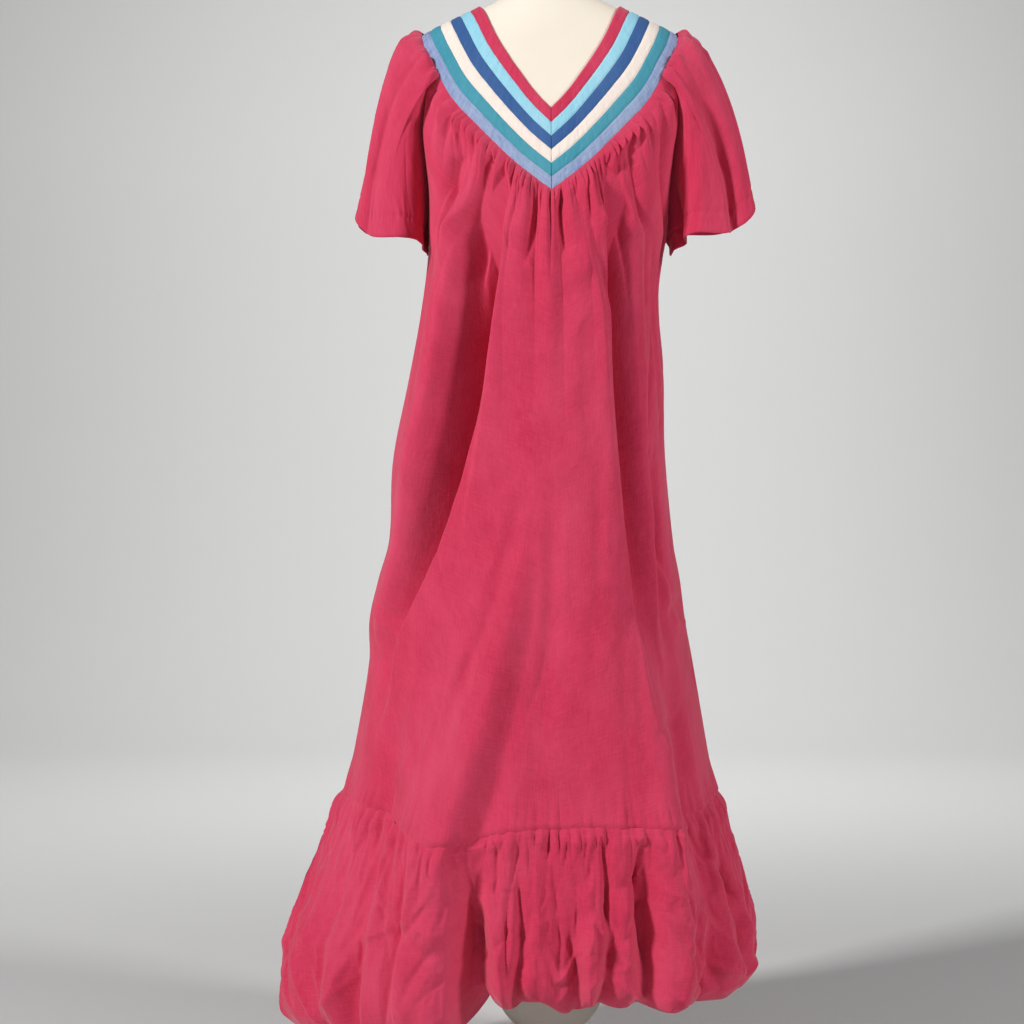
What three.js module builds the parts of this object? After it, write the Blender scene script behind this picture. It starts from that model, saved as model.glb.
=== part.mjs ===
import * as THREE from "three";

// A loose kaftan maxi dress with a banded V yoke, short sleeves and a gathered ruffle, on a limbless
// dress form with a turned stand. Millimetres, +Z up. The front faces -Y, and +X is the viewer's right.
// The origin is the centre of the stand's underside.

// Driving sizes
const WALL = 1.5;
const SEAM_GAP = 0.5;
const FORM_CLEARANCE = 1.7;
const CLOTH_LIFT = WALL + FORM_CLEARANCE;
const PANEL_LIFT = CLOTH_LIFT + 0.3;
const SHOULDER_EASE = { at: 0.54, half: 0.1, lift: 0.6 };
const UNDERARM_Z = 1105;
const SIDE_SEAM_DEG = 90;
const YOKE_WIDTH = 78;

// How far below the yoke the body still keeps its edge, and where its columns have spread evenly
const HELD_DROP = 120;
const SETTLED_DROP = 190;

// Mesh steps
const FORM_COLUMNS = 32;
const FORM_RINGS = [
  690, 704, 800, 900, 980, 1120, 1180, 1250, 1300, 1335, 1343, 1351, 1357, 1363, 1370, 1376, 1382, 1388,
  1394, 1400, 1407, 1415, 1422, 1474, 1482,
];
const LATHE_COLUMNS = 24;

// Gathers along each seam, and the mesh columns of one gather of the body and of the ruffle
const COLUMNS_PER_GATHER = 4;
const COLUMNS_PER_RUFFLE_GATHER = 2;
const GATHERS = { front: 28, back: 16, sleeve: 9, ruffleFront: 44, ruffleBack: 32 };

// Level sections of the form: half width, depth to the front and back, and squareness (2 is an ellipse)
const FORM_SECTIONS = [
  { z: 690, half: 116, front: 84, back: 86, square: 2.1 },
  { z: 704, half: 126, front: 92, back: 95, square: 2.1 },
  { z: 760, half: 131, front: 98, back: 101, square: 2.1 },
  { z: 830, half: 129, front: 100, back: 102, square: 2.1 },
  { z: 900, half: 120, front: 95, back: 94, square: 2.1 },
  { z: 980, half: 110, front: 89, back: 82, square: 2.1 },
  { z: 1040, half: 117, front: 98, back: 84, square: 2.1 },
  { z: 1085, half: 127, front: 112, back: 87, square: 2.2 },
  { z: 1120, half: 133, front: 117, back: 90, square: 2.3 },
  { z: 1155, half: 138, front: 111, back: 92, square: 2.4 },
  { z: 1200, half: 150, front: 99, back: 93, square: 2.5 },
  { z: 1250, half: 170, front: 87, back: 92, square: 2.7 },
  { z: 1300, half: 183, front: 77, back: 88, square: 2.7 },
  { z: 1335, half: 180, front: 70, back: 82, square: 2.5 },
  { z: 1351, half: 170, front: 67, back: 79, square: 2.3 },
  { z: 1363, half: 154, front: 64, back: 76, square: 2.2 },
  { z: 1380, half: 120, front: 60, back: 72, square: 2.1 },
  { z: 1396, half: 86, front: 56, back: 68, square: 2 },
  { z: 1407, half: 66, front: 53, back: 65, square: 2 },
  { z: 1422, half: 58, front: 51, back: 62, square: 2 },
  { z: 1450, half: 56, front: 50, back: 60, square: 2 },
  { z: 1474, half: 55, front: 49, back: 59, square: 2 },
  { z: 1482, half: 48, front: 42, back: 52, square: 2 },
];

// Level sections of the hanging body of the dress, without its folds
const DRESS_SECTIONS = [
  { z: 380, left: 264, right: 215, front: 232, back: 203, square: 2 },
  { z: 463, left: 247, right: 199, front: 217, back: 190, square: 2 },
  { z: 566, left: 230, right: 181, front: 197, back: 175, square: 2 },
  { z: 617, left: 230, right: 172, front: 187, back: 167, square: 2 },
  { z: 668, left: 219, right: 166, front: 178, back: 159, square: 2 },
  { z: 719, left: 205, right: 157, front: 170, back: 152, square: 2 },
  { z: 822, left: 200, right: 148, front: 157, back: 139, square: 2 },
  { z: 924, left: 180, right: 144, front: 146, back: 126, square: 2 },
  { z: 1026, left: 161, right: 135, front: 138, back: 114, square: 2.1 },
  { z: 1077, left: 154, right: 139, front: 134, back: 109, square: 2.1 },
  { z: 1105, left: 152, right: 143, front: 131, back: 107, square: 2.2 },
  { z: 1150, left: 152, right: 147, front: 122, back: 105, square: 2.3 },
  { z: 1200, left: 156, right: 154, front: 109, back: 103, square: 2.5 },
  { z: 1250, left: 166, right: 166, front: 95, back: 100, square: 2.5 },
  { z: 1300, left: 174, right: 174, front: 83, back: 95, square: 2.6 },
  { z: 1350, left: 176, right: 176, front: 72, back: 88, square: 2.4 },
];

// The yoke's neck edge and outer edge, from the V's point (at 0) over the shoulder to the centre back (at 1).
// The last row lies past the centre back and gives both edges a level tangent there.
const YOKE_EDGES = [
  { at: 0.0, neckX: 0, neckY: -90, neckZ: 1251, edgeX: 0, edgeY: -115, edgeZ: 1145 },
  { at: 0.12, neckX: 20, neckY: -86, neckZ: 1273, edgeX: 31, edgeY: -111, edgeZ: 1170 },
  { at: 0.24, neckX: 38, neckY: -80, neckZ: 1298, edgeX: 61, edgeY: -102, edgeZ: 1198 },
  { at: 0.36, neckX: 56, neckY: -70, neckZ: 1325, edgeX: 94, edgeY: -86, edgeZ: 1233 },
  { at: 0.46, neckX: 71, neckY: -54, neckZ: 1352, edgeX: 122, edgeY: -72, edgeZ: 1266 },
  { at: 0.54, neckX: 82, neckY: -30, neckZ: 1380, edgeX: 143, edgeY: -58, edgeZ: 1307 },
  { at: 0.62, neckX: 90, neckY: 0, neckZ: 1399, edgeX: 160, edgeY: 0, edgeZ: 1364 },
  { at: 0.72, neckX: 80, neckY: 34, neckZ: 1393, edgeX: 148, edgeY: 44, edgeZ: 1346 },
  { at: 0.82, neckX: 58, neckY: 58, neckZ: 1383, edgeX: 116, edgeY: 74, edgeZ: 1316 },
  { at: 0.91, neckX: 31, neckY: 68, neckZ: 1376, edgeX: 62, edgeY: 90, edgeZ: 1298 },
  { at: 1.0, neckX: 0, neckY: 72, neckZ: 1374, edgeX: 0, edgeY: 93, edgeZ: 1293 },
  { at: 1.09, neckX: -31, neckY: 68, neckZ: 1376, edgeX: -62, edgeY: 90, edgeZ: 1298 },
];

// Where the armhole seams meet the yoke's outer edge, as places in YOKE_EDGES
const FRONT_ARMHOLE_AT = 0.52;
const BACK_ARMHOLE_AT = 0.73;

// Bearing of the side edges of the front and back, from the straight front, on either side
const FRONT_EDGE_DEG = [
  { z: UNDERARM_Z, deg: 90 },
  { z: 1135, deg: 84 },
  { z: 1170, deg: 80 },
  { z: 1240, deg: 73.5 },
  { z: 1300, deg: 68 },
];
const BACK_EDGE_DEG = [
  { z: UNDERARM_Z, deg: 90 },
  { z: 1135, deg: 96 },
  { z: 1170, deg: 100 },
  { z: 1250, deg: 104.5 },
  { z: 1344, deg: 107 },
];

// Height of the seam between body and ruffle, by bearing
const RUFFLE_SEAM = [
  { deg: -180, z: 398 },
  { deg: -90, z: 400 },
  { deg: -60, z: 394 },
  { deg: -42, z: 383 },
  { deg: -28, z: 371 },
  { deg: -12, z: 385 },
  { deg: 10, z: 388 },
  { deg: 40, z: 384 },
  { deg: 60, z: 393 },
  { deg: 90, z: 400 },
  { deg: 180, z: 398 },
];

// Large folds of the body. Each runs from z top to z foot; deg is its bearing, depth how far it stands out
// (a valley is below 0), at its top, middle and foot; left and right are its half widths in degrees.
const FRONT_FOLDS = [
  { top: 1175, foot: 585, deg: [-27, -37, -66], depth: [-20, -38, -9], left: 17, right: 5 },
  { top: 1170, foot: 620, deg: [-50, -51, -70], depth: [8, 32, -3], left: 24, right: 9 },
  { top: 1150, foot: 760, deg: [-22, -27, -34], depth: [4, 9, 4], left: 4, right: 14 },
  { top: 1190, foot: 590, deg: [31, 34.5, 38], depth: [-16, -30, -8], left: 5, right: 13 },
  { top: 1140, foot: 650, deg: [19, 26, 30], depth: [4, 6, 0], left: 12, right: 5 },
  { top: 1120, foot: 700, deg: [49, 52, 53], depth: [4, 5, 2], left: 8, right: 8 },
  { top: 800, foot: 540, deg: [1, 0, -2], depth: [-1, -5, -3], left: 6, right: 6 },
  { top: 800, foot: 470, deg: [-11, -23, -35], depth: [-1, -7, -4], left: 6, right: 6 },
  { top: 740, foot: 370, deg: [-13, -20, -30], depth: [2, 22, 42], left: 26, right: 10 },
  { top: 660, foot: 370, deg: [-3, 0, 2], depth: [-1, -8, -14], left: 16, right: 26 },
  { top: 640, foot: 370, deg: [36, 38, 36], depth: [1, 12, 20], left: 14, right: 8 },
  { top: 840, foot: 590, deg: [59, 55, 50], depth: [-2, -13, -3], left: 5, right: 6 },
  { top: 580, foot: 370, deg: [48, 49, 49], depth: [-2, -10, -14], left: 8, right: 9 },
  { top: 580, foot: 370, deg: [-58, -56, -54], depth: [-2, -8, -13], left: 10, right: 9 },
  { top: 1080, foot: 880, deg: [68, 68, 69], depth: [-2, -5, -2], left: 5, right: 5 },
];
const BACK_FOLDS = [
  { top: 1240, foot: 370, deg: [112, 113, 115], depth: [-2, -9, -15], left: 9, right: 9 },
  { top: 1230, foot: 370, deg: [134, 132, 131], depth: [4, 10, 20], left: 10, right: 12 },
  { top: 1240, foot: 370, deg: [150, 152, 153], depth: [-3, -13, -22], left: 9, right: 8 },
  { top: 1220, foot: 370, deg: [166, 170, 172], depth: [4, 10, 17], left: 10, right: 10 },
  { top: 1240, foot: 370, deg: [182, 188, 191], depth: [-3, -12, -19], left: 8, right: 9 },
  { top: 1220, foot: 370, deg: [197, 205, 209], depth: [4, 9, 20], left: 9, right: 11 },
  { top: 1240, foot: 370, deg: [215, 226, 231], depth: [-3, -12, -20], left: 9, right: 9 },
  { top: 1230, foot: 370, deg: [236, 243, 248], depth: [4, 7, 12], left: 10, right: 8 },
];

// How far down its gathers reach below a seam, and their height there
const YOKE_GATHERS = { start: 0.8, height: 3.4, peak: 20, reach: 135 };
const RUFFLE_GATHERS = { start: 0.8, height: 4.2, peak: 26, reach: 110 };

// The ruffle by bearing: how far it spreads beyond its seam, and the height of its lowest edge
const RUFFLE_SPREAD = [
  { deg: -180, flare: 46, hem: 142 },
  { deg: -135, flare: 64, hem: 132 },
  { deg: -90, flare: 84, hem: 118 },
  { deg: -60, flare: 72, hem: 134 },
  { deg: -42, flare: 44, hem: 152 },
  { deg: -28, flare: 18, hem: 166 },
  { deg: -20, flare: 20, hem: 194 },
  { deg: -12, flare: 24, hem: 190 },
  { deg: -4, flare: 24, hem: 198 },
  { deg: 4, flare: 24, hem: 180 },
  { deg: 11, flare: 25, hem: 192 },
  { deg: 24, flare: 28, hem: 188 },
  { deg: 42, flare: 38, hem: 180 },
  { deg: 66, flare: 50, hem: 174 },
  { deg: 90, flare: 54, hem: 165 },
  { deg: 135, flare: 52, hem: 150 },
  { deg: 180, flare: 46, hem: 142 },
];
// The ruffle's section: share of the drop, share of the flare, and share of the tuck under its lower edge
const RUFFLE_SECTION = [
  { drop: 0, out: 0, tuck: 0 },
  { drop: 0.06, out: 0.09, tuck: 0 },
  { drop: 0.19, out: 0.31, tuck: 0 },
  { drop: 0.42, out: 0.66, tuck: 0 },
  { drop: 0.7, out: 0.95, tuck: 0 },
  { drop: 0.91, out: 1, tuck: 0.08 },
  { drop: 1, out: 0.9, tuck: 0.45 },
  { drop: 0.96, out: 0.8, tuck: 1 },
];
const TUCK = 58;
const RUFFLE_DROP = 250;
// Valleys between the ruffle's waves: bearing at the seam, how far each leans by the hem, its depth, and its
// half widths. A valley lifts the hem by a small share of its depth.
const VALLEY_HEM_LIFT = 0.12;
const RUFFLE_VALLEYS = [
  { deg: -84, lean: 2, depth: 12, left: 6, right: 6 },
  { deg: -66, lean: 4, depth: 16, left: 9, right: 5 },
  { deg: -50, lean: -3, depth: 14, left: 5, right: 6 },
  { deg: -39, lean: 3, depth: 9, left: 4, right: 4 },
  { deg: -25, lean: 0, depth: 34, left: 3.6, right: 12 },
  { deg: -10.5, lean: 0.5, depth: 14, left: 3, right: 3 },
  { deg: -2, lean: 3, depth: 17, left: 5, right: 3 },
  { deg: 6, lean: -2, depth: 9, left: 3, right: 3 },
  { deg: 13, lean: 1, depth: 16, left: 3, right: 5 },
  { deg: 20, lean: 1, depth: 9, left: 3, right: 3 },
  { deg: 28, lean: 4, depth: 32, left: 9, right: 4 },
  { deg: 44, lean: -6, depth: 14, left: 6, right: 6 },
  { deg: 60, lean: 8, depth: 17, left: 7, right: 5 },
  { deg: 79, lean: 0, depth: 13, left: 7, right: 7 },
  { deg: 97, lean: 2, depth: 16, left: 7, right: 7 },
  { deg: 113, lean: -3, depth: 20, left: 7, right: 5 },
  { deg: 128, lean: 2, depth: 14, left: 6, right: 6 },
  { deg: 143, lean: 3, depth: 22, left: 8, right: 5 },
  { deg: 158, lean: -2, depth: 15, left: 6, right: 6 },
  { deg: 172, lean: 2, depth: 24, left: 5, right: 8 },
  { deg: 188, lean: -2, depth: 16, left: 7, right: 7 },
  { deg: 203, lean: 3, depth: 22, left: 6, right: 6 },
  { deg: 218, lean: -3, depth: 14, left: 7, right: 5 },
  { deg: 233, lean: 2, depth: 20, left: 5, right: 8 },
  { deg: 248, lean: -2, depth: 15, left: 6, right: 6 },
  { deg: 262, lean: 2, depth: 12, left: 6, right: 6 },
];

// Sleeves: the hem's centre, half sizes and heights, and its folds by place round the sleeve (0 underarm,
// 0.25 front, 0.5 outside, 0.75 back). Depths are in millimetres at the hem.
const SLEEVES = [
  {
    name: "sleeve_left", side: -1, centreX: 201, halfX: 45.5, halfY: 64, outer: 1131, front: 1097,
    inner: 1084, back: 1117, puff: 40,
    folds: [
      { at: 0.085, depth: -13, half: 0.05 },
      { at: 0.2, depth: 5, half: 0.08 },
      { at: 0.34, depth: -6, half: 0.07 },
      { at: 0.6, depth: 6, half: 0.08 },
      { at: 0.72, depth: -8, half: 0.07 },
      { at: 0.85, depth: 6, half: 0.06 },
    ],
  },
  {
    name: "sleeve_right", side: 1, centreX: 206, halfX: 51, halfY: 64, outer: 1155, front: 1102,
    inner: 1084, back: 1121, puff: 40,
    folds: [
      { at: 0.085, depth: -12, half: 0.05 },
      { at: 0.21, depth: 7, half: 0.07 },
      { at: 0.32, depth: -15, half: 0.05 },
      { at: 0.41, depth: 6, half: 0.06 },
      { at: 0.63, depth: -8, half: 0.07 },
      { at: 0.76, depth: 6, half: 0.07 },
      { at: 0.87, depth: -6, half: 0.06 },
    ],
  },
];
const SLEEVE_ROWS = [0, 0.04, 0.13, 0.3, 0.52, 0.76, 1];
const SLEEVE_FRONT_SHARE = 0.27;
const SLEEVE_BACK_SHARE = 0.69;
const SLEEVE_SEAM_GAP = 0.9;

// The stand: an outline of radius and height, and the pole between it and the form
const STAND_PROFILE = [
  { radius: 0, z: 0 },
  { radius: 158, z: 0 },
  { radius: 160, z: 8 },
  { radius: 154, z: 15 },
  { radius: 88, z: 24 },
  { radius: 38, z: 38 },
  { radius: 27, z: 60 },
  { radius: 30, z: 84 },
];
const BULB = { radius: 72, height: 76, z: 162, firstDeg: -60, lastDeg: 76, steps: 6 };
const POLE_RADIUS = 14;
const TORSO_FOOT = FORM_SECTIONS[0].z;

const COLOURS = {
  cloth: 0xd23f66, skyBlue: 0x8fcbe0, navy: 0x2f4f8f, cream: 0xf3e6d6, teal: 0x2f8fa3, periwinkle: 0x8397cb,
  form: 0xece2cf, stand: 0xd8d2c4, pole: 0xb9b9b6,
};
const BANDS = [
  { name: "neckband_rose", colour: COLOURS.cloth },
  { name: "yoke_band_sky", colour: COLOURS.skyBlue },
  { name: "yoke_band_navy", colour: COLOURS.navy },
  { name: "yoke_band_cream", colour: COLOURS.cream },
  { name: "yoke_band_teal", colour: COLOURS.teal },
  { name: "yoke_band_periwinkle", colour: COLOURS.periwinkle },
];

const radians = (deg) => (deg * Math.PI) / 180;
const degrees = (angle) => (angle * 180) / Math.PI;
const mix = (a, b, share) => a + (b - a) * share;
const clamp01 = (value) => Math.min(1, Math.max(0, value));
const smoothStep = (value) => {
  const t = clamp01(value);
  return t * t * (3 - 2 * t);
};

// A smooth curve through a table's rows: the value of one column at any key, level past both ends
function column(rows, key, name) {
  const keys = rows.map((row) => row[key]);
  const values = rows.map((row) => row[name]);
  const last = rows.length - 1;
  const slopes = rows.map((_, i) => {
    const before = Math.max(i - 1, 0);
    const after = Math.min(i + 1, last);
    return (values[after] - values[before]) / (keys[after] - keys[before]);
  });
  return (at) => {
    if (at <= keys[0]) return values[0];
    if (at >= keys[last]) return values[last];
    const i = keys.findIndex((k) => k > at) - 1;
    const step = keys[i + 1] - keys[i];
    const t = (at - keys[i]) / step;
    const t2 = t * t;
    const t3 = t2 * t;
    return (
      (2 * t3 - 3 * t2 + 1) * values[i] +
      (t3 - 2 * t2 + t) * step * slopes[i] +
      (3 * t2 - 2 * t3) * values[i + 1] +
      (t3 - t2) * step * slopes[i + 1]
    );
  };
}

function columns(rows, key) {
  const names = Object.keys(rows[0]).filter((name) => name !== key);
  return Object.fromEntries(names.map((name) => [name, column(rows, key, name)]));
}

const formSection = columns(FORM_SECTIONS, "z");
const dressSection = columns(DRESS_SECTIONS, "z");
const yokeEdge = columns(YOKE_EDGES, "at");
const frontEdgeDeg = column(FRONT_EDGE_DEG, "z", "deg");
const backEdgeDeg = column(BACK_EDGE_DEG, "z", "deg");
const ruffleSeamZ = column(RUFFLE_SEAM, "deg", "z");
const ruffleFlare = column(RUFFLE_SPREAD, "deg", "flare");
const ruffleHemZ = column(RUFFLE_SPREAD, "deg", "hem");

// Bearings run from -180 to 180; 0 is the straight front and 90 the viewer's right
const wrapDeg = (deg) => deg - 360 * Math.floor((deg + 180) / 360);
const bearing = (point) => degrees(Math.atan2(point.x, -point.y));

// Radius of a rounded section with the given half sizes, at a bearing
function ovalRadius(deg, across, along, square) {
  const sine = Math.abs(Math.sin(radians(deg)));
  const cosine = Math.abs(Math.cos(radians(deg)));
  return ((sine / across) ** square + (cosine / along) ** square) ** (-1 / square);
}

function formRadius(deg, z) {
  const along = Math.abs(deg) < 90 ? formSection.front(z) : formSection.back(z);
  return ovalRadius(deg, formSection.half(z), along, formSection.square(z));
}

function dressRadius(deg, z) {
  const across = deg < 0 ? dressSection.left(z) : dressSection.right(z);
  const along = Math.abs(deg) < 90 ? dressSection.front(z) : dressSection.back(z);
  return ovalRadius(deg, across, along, dressSection.square(z));
}

const onBearing = (deg, radius, z) =>
  new THREE.Vector3(radius * Math.sin(radians(deg)), -radius * Math.cos(radians(deg)), z);

// Distance outside the form, and the way out, to first order
const PROBE = 0.5;
const LIFT_ROUNDS = 6;
function formOffset(point) {
  const beyond = (p) => Math.hypot(p.x, p.y) - formRadius(bearing(p), p.z);
  const slope = new THREE.Vector3(
    beyond(point.clone().setX(point.x + PROBE)) - beyond(point.clone().setX(point.x - PROBE)),
    beyond(point.clone().setY(point.y + PROBE)) - beyond(point.clone().setY(point.y - PROBE)),
    beyond(point.clone().setZ(point.z + PROBE)) - beyond(point.clone().setZ(point.z - PROBE)),
  ).divideScalar(2 * PROBE);
  const steepness = slope.length();
  return { distance: beyond(point) / steepness, outward: slope.divideScalar(steepness) };
}

// Moves a point along the form's normal until it is that far outside
function liftFromForm(point, lift) {
  const moved = point.clone();
  for (let i = 0; i < LIFT_ROUNDS; i++) {
    const { distance, outward } = formOffset(moved);
    moved.addScaledVector(outward, lift - distance);
  }
  return moved;
}

// Keeps a point of the cloth's outer face clear of the form
function clearOfForm(point) {
  if (point.z < TORSO_FOOT) return point;
  return formOffset(point).distance < PANEL_LIFT ? liftFromForm(point, PANEL_LIFT) : point;
}

// A point of the yoke: place from -1 to 1 (0 the V's point, either sign one side, 1 the centre back),
// share 0 at the neck edge and 1 at the outer edge
function yokePoint(place, share) {
  const at = Math.abs(place);
  const point = new THREE.Vector3(
    mix(yokeEdge.neckX(at), yokeEdge.edgeX(at), share),
    mix(yokeEdge.neckY(at), yokeEdge.edgeY(at), share),
    mix(yokeEdge.neckZ(at), yokeEdge.edgeZ(at), share),
  );
  const ease = 1 - smoothStep(Math.abs(at - SHOULDER_EASE.at) / SHOULDER_EASE.half);
  const lifted = liftFromForm(point, CLOTH_LIFT + SHOULDER_EASE.lift * ease);
  if (at === 0 || at === 1) lifted.x = 0;
  if (place < 0) lifted.x = -lifted.x;
  return lifted;
}

// The value of a fold's three-number column at a share of its length
function threePoint([start, middle, end], share) {
  const nearStart = start * (1 - share) * (1 - 2 * share);
  const nearEnd = end * share * (2 * share - 1);
  return nearStart + middle * 4 * share * (1 - share) + nearEnd;
}

function foldDepth(folds, deg, z) {
  let total = 0;
  for (const fold of folds) {
    const share = (fold.top - z) / (fold.top - fold.foot);
    if (share <= 0 || share >= 1.2) continue;
    const along = Math.min(share, 1);
    const away = deg - threePoint(fold.deg, along);
    const reach = away < 0 ? fold.left : fold.right;
    if (Math.abs(away) >= reach) continue;
    const fade = smoothStep(share / 0.15) * (1 - smoothStep((share - 1) / 0.2));
    total += threePoint(fold.depth, along) * Math.cos((Math.PI / 2) * (away / reach)) ** 2 * fade;
  }
  return total;
}

// Gathers stand out from the seam, highest a little way off it, and die away unevenly
function gatherHeight(gathers, wave, drop) {
  const number = Math.floor(wave);
  const uneven = 0.72 + 0.28 * Math.sin(2.4 * number + 1);
  const rise = mix(gathers.start, gathers.height * uneven, smoothStep(drop / gathers.peak));
  const fall = 1 - smoothStep((drop - gathers.peak) / (gathers.reach * uneven - gathers.peak));
  return rise * fall * 0.5 * (1 - Math.cos(2 * Math.PI * wave));
}

// The body below the yoke, at a bearing and a height, with its large folds
function bodyPoint(deg, z) {
  const at = wrapDeg(deg);
  const isFront = Math.abs(at) <= SIDE_SEAM_DEG;
  const folds = isFront ? foldDepth(FRONT_FOLDS, at, z) : foldDepth(BACK_FOLDS, at < 0 ? at + 360 : at, z);
  return onBearing(at, dressRadius(at, z) + folds, z);
}

// Top edge of the front (or back) of the body. across runs from -1 to 1 between its side edges, the viewer's
// left to right seen from its own side.
function panelTop(isFront, across) {
  const place = isFront
    ? across * FRONT_ARMHOLE_AT
    : -Math.sign(across || 1) * mix(1, BACK_ARMHOLE_AT, Math.abs(across));
  const top = yokePoint(place, 1);
  top.z -= SEAM_GAP;
  return top;
}

function panelHeight(isFront, across) {
  const footDeg = wrapDeg((isFront ? 0 : 180) + across * SIDE_SEAM_DEG);
  return panelTop(isFront, across).z - ruffleSeamZ(footDeg) - SEAM_GAP;
}

function panelDrop(isFront, across, row) {
  const armhole = panelTop(isFront, 1).z - UNDERARM_Z;
  return mix(row.middle, row.side + row.armhole * armhole, across ** 2);
}

function panelPoint(isFront, across, drop) {
  const top = panelTop(isFront, across);
  const ownSide = isFront ? 0 : 180;
  const topDeg = wrapDeg(bearing(top) - ownSide);
  const z = top.z - drop;
  const edgeDeg = across * (isFront ? frontEdgeDeg(z) : 180 - backEdgeDeg(z));
  const settledEdge = Math.abs(across) ** 6 * smoothStep(drop / PANEL_ROWS[1].side);
  const settled = Math.max(smoothStep(drop / SETTLED_DROP), settledEdge);
  const deg = ownSide + mix(topDeg, edgeDeg, settled);
  const hung = bodyPoint(deg, z);
  const loose = bodyPoint(ownSide + topDeg, top.z);
  const held = 1 - smoothStep(drop / HELD_DROP);
  hung.x += (top.x - loose.x) * held;
  hung.y += (top.y - loose.y) * held;
  const wave = ((across + 1) / 2) * (isFront ? GATHERS.front : GATHERS.back);
  hung.addScaledVector(onBearing(deg, 1, 0), gatherHeight(YOKE_GATHERS, wave, drop));
  const point = clearOfForm(hung);
  if (Math.abs(across) === 1 && z < UNDERARM_Z + 1) point.y = isFront ? -SEAM_GAP / 2 : SEAM_GAP / 2;
  return point;
}

// Closes a sheet of outer points into a wall. rows run down the sheet and their points to the viewer's
// right seen from outside; a row may have half as many steps as the one above it.
function wall(rows, { ring = false, thickness = WALL } = {}) {
  const starts = [];
  let count = 0;
  for (const row of rows) {
    starts.push(count);
    count += row.length;
  }
  const sheet = [];
  for (let r = 0; r + 1 < rows.length; r++) {
    const above = rows[r].length;
    const below = rows[r + 1].length;
    const stepsBelow = ring ? below : below - 1;
    const stepsAbove = ring ? above : above - 1;
    const a = (i) => starts[r] + (i % above);
    const b = (i) => starts[r + 1] + (i % below);
    for (let i = 0; i < stepsBelow; i++) {
      if (stepsAbove === stepsBelow) {
        sheet.push([a(i), b(i), a(i + 1)], [a(i + 1), b(i), b(i + 1)]);
      } else {
        sheet.push([a(2 * i), b(i), a(2 * i + 1)], [a(2 * i + 1), b(i), b(i + 1)]);
        sheet.push([a(2 * i + 1), b(i + 1), a(2 * i + 2)]);
      }
    }
  }
  const outer = rows.flat();
  const normals = outer.map(() => new THREE.Vector3());
  for (const [i, j, k] of sheet) {
    const along = outer[j].clone().sub(outer[i]);
    const face = along.cross(outer[k].clone().sub(outer[i]));
    for (const corner of [i, j, k]) normals[corner].add(face);
  }
  const inner = outer.map((point, i) => {
    const behind = point.clone().addScaledVector(normals[i].normalize(), -thickness);
    if (Math.abs(point.x) <= SEAM_GAP / 2) behind.x = point.x;
    if (Math.abs(point.y) <= SEAM_GAP / 2) behind.y = point.y;
    return behind;
  });
  const faces = [...sheet];
  const edges = new Map();
  for (const [i, j, k] of sheet) {
    faces.push([i + count, k + count, j + count]);
    for (const [from, to] of [[i, j], [j, k], [k, i]]) {
      if (!edges.delete(`${to},${from}`)) edges.set(`${from},${to}`, [from, to]);
    }
  }
  for (const [from, to] of edges.values()) {
    faces.push([to, from, from + count], [to, from + count, to + count]);
  }
  const geometry = new THREE.BufferGeometry();
  const positions = [...outer, ...inner].flatMap((point) => point.toArray());
  geometry.setAttribute("position", new THREE.Float32BufferAttribute(positions, 3));
  geometry.setIndex(faces.flat());
  return geometry;
}

// Closes a stack of level rings, lowest first, with a flat cap at each end
function stack(rings) {
  const width = rings[0].length;
  const points = rings.flat();
  const faces = [];
  for (let r = 0; r + 1 < rings.length; r++) {
    for (let i = 0; i < width; i++) {
      const a = r * width + i;
      const b = r * width + ((i + 1) % width);
      faces.push([a, b, a + width], [b, b + width, a + width]);
    }
  }
  for (const [ring, isTop] of [[0, false], [rings.length - 1, true]]) {
    const hub = points.length;
    points.push(new THREE.Vector3(0, 0, rings[ring][0].z));
    for (let i = 0; i < width; i++) {
      const a = ring * width + i;
      const b = ring * width + ((i + 1) % width);
      faces.push(isTop ? [hub, a, b] : [hub, b, a]);
    }
  }
  const geometry = new THREE.BufferGeometry();
  geometry.setAttribute("position", new THREE.Float32BufferAttribute(points.flatMap((p) => p.toArray()), 3));
  geometry.setIndex(faces.flat());
  return geometry;
}

const group = new THREE.Group();

function add(name, geometry, colour, roughness = 0.85, metalness = 0) {
  const material = new THREE.MeshStandardMaterial({ color: colour, roughness, metalness });
  const mesh = new THREE.Mesh(geometry, material);
  mesh.name = name;
  group.add(mesh);
  return mesh;
}

const steps = (count, from = 0, to = 1) =>
  Array.from({ length: count + 1 }, (_, i) => mix(from, to, i / count));

// Places round the yoke, closest over the shoulders, from the V's point round the neck and back to it
const YOKE_STRETCHES = [
  { end: 0.4, count: 4 },
  { end: 0.54, count: 4 },
  { end: 0.64, count: 6 },
  { end: 0.78, count: 3 },
  { end: 1, count: 4 },
];
const YOKE_HALF = YOKE_STRETCHES.reduce(
  (places, { end, count }) => [...places, ...steps(count, places.at(-1), end).slice(1)],
  [0],
);
const YOKE_PLACES = [...YOKE_HALF, ...YOKE_HALF.slice(0, -1).reverse().map((place) => -place)];

// Each band of the yoke is one strip round the neck, mitred at the V's point
function yokeBand(number) {
  const halfGap = SEAM_GAP / 2;
  const inner = number / BANDS.length + (number === 0 ? 0 : halfGap / YOKE_WIDTH);
  const outer = (number + 1) / BANDS.length - (number === BANDS.length - 1 ? 0 : halfGap / YOKE_WIDTH);
  return [inner, outer].map((share) =>
    YOKE_PLACES.map((place, i) => {
      const point = yokePoint(place, share);
      if (i === 0) point.x = halfGap;
      if (i === YOKE_PLACES.length - 1) point.x = -halfGap;
      return point;
    }),
  );
}

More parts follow.
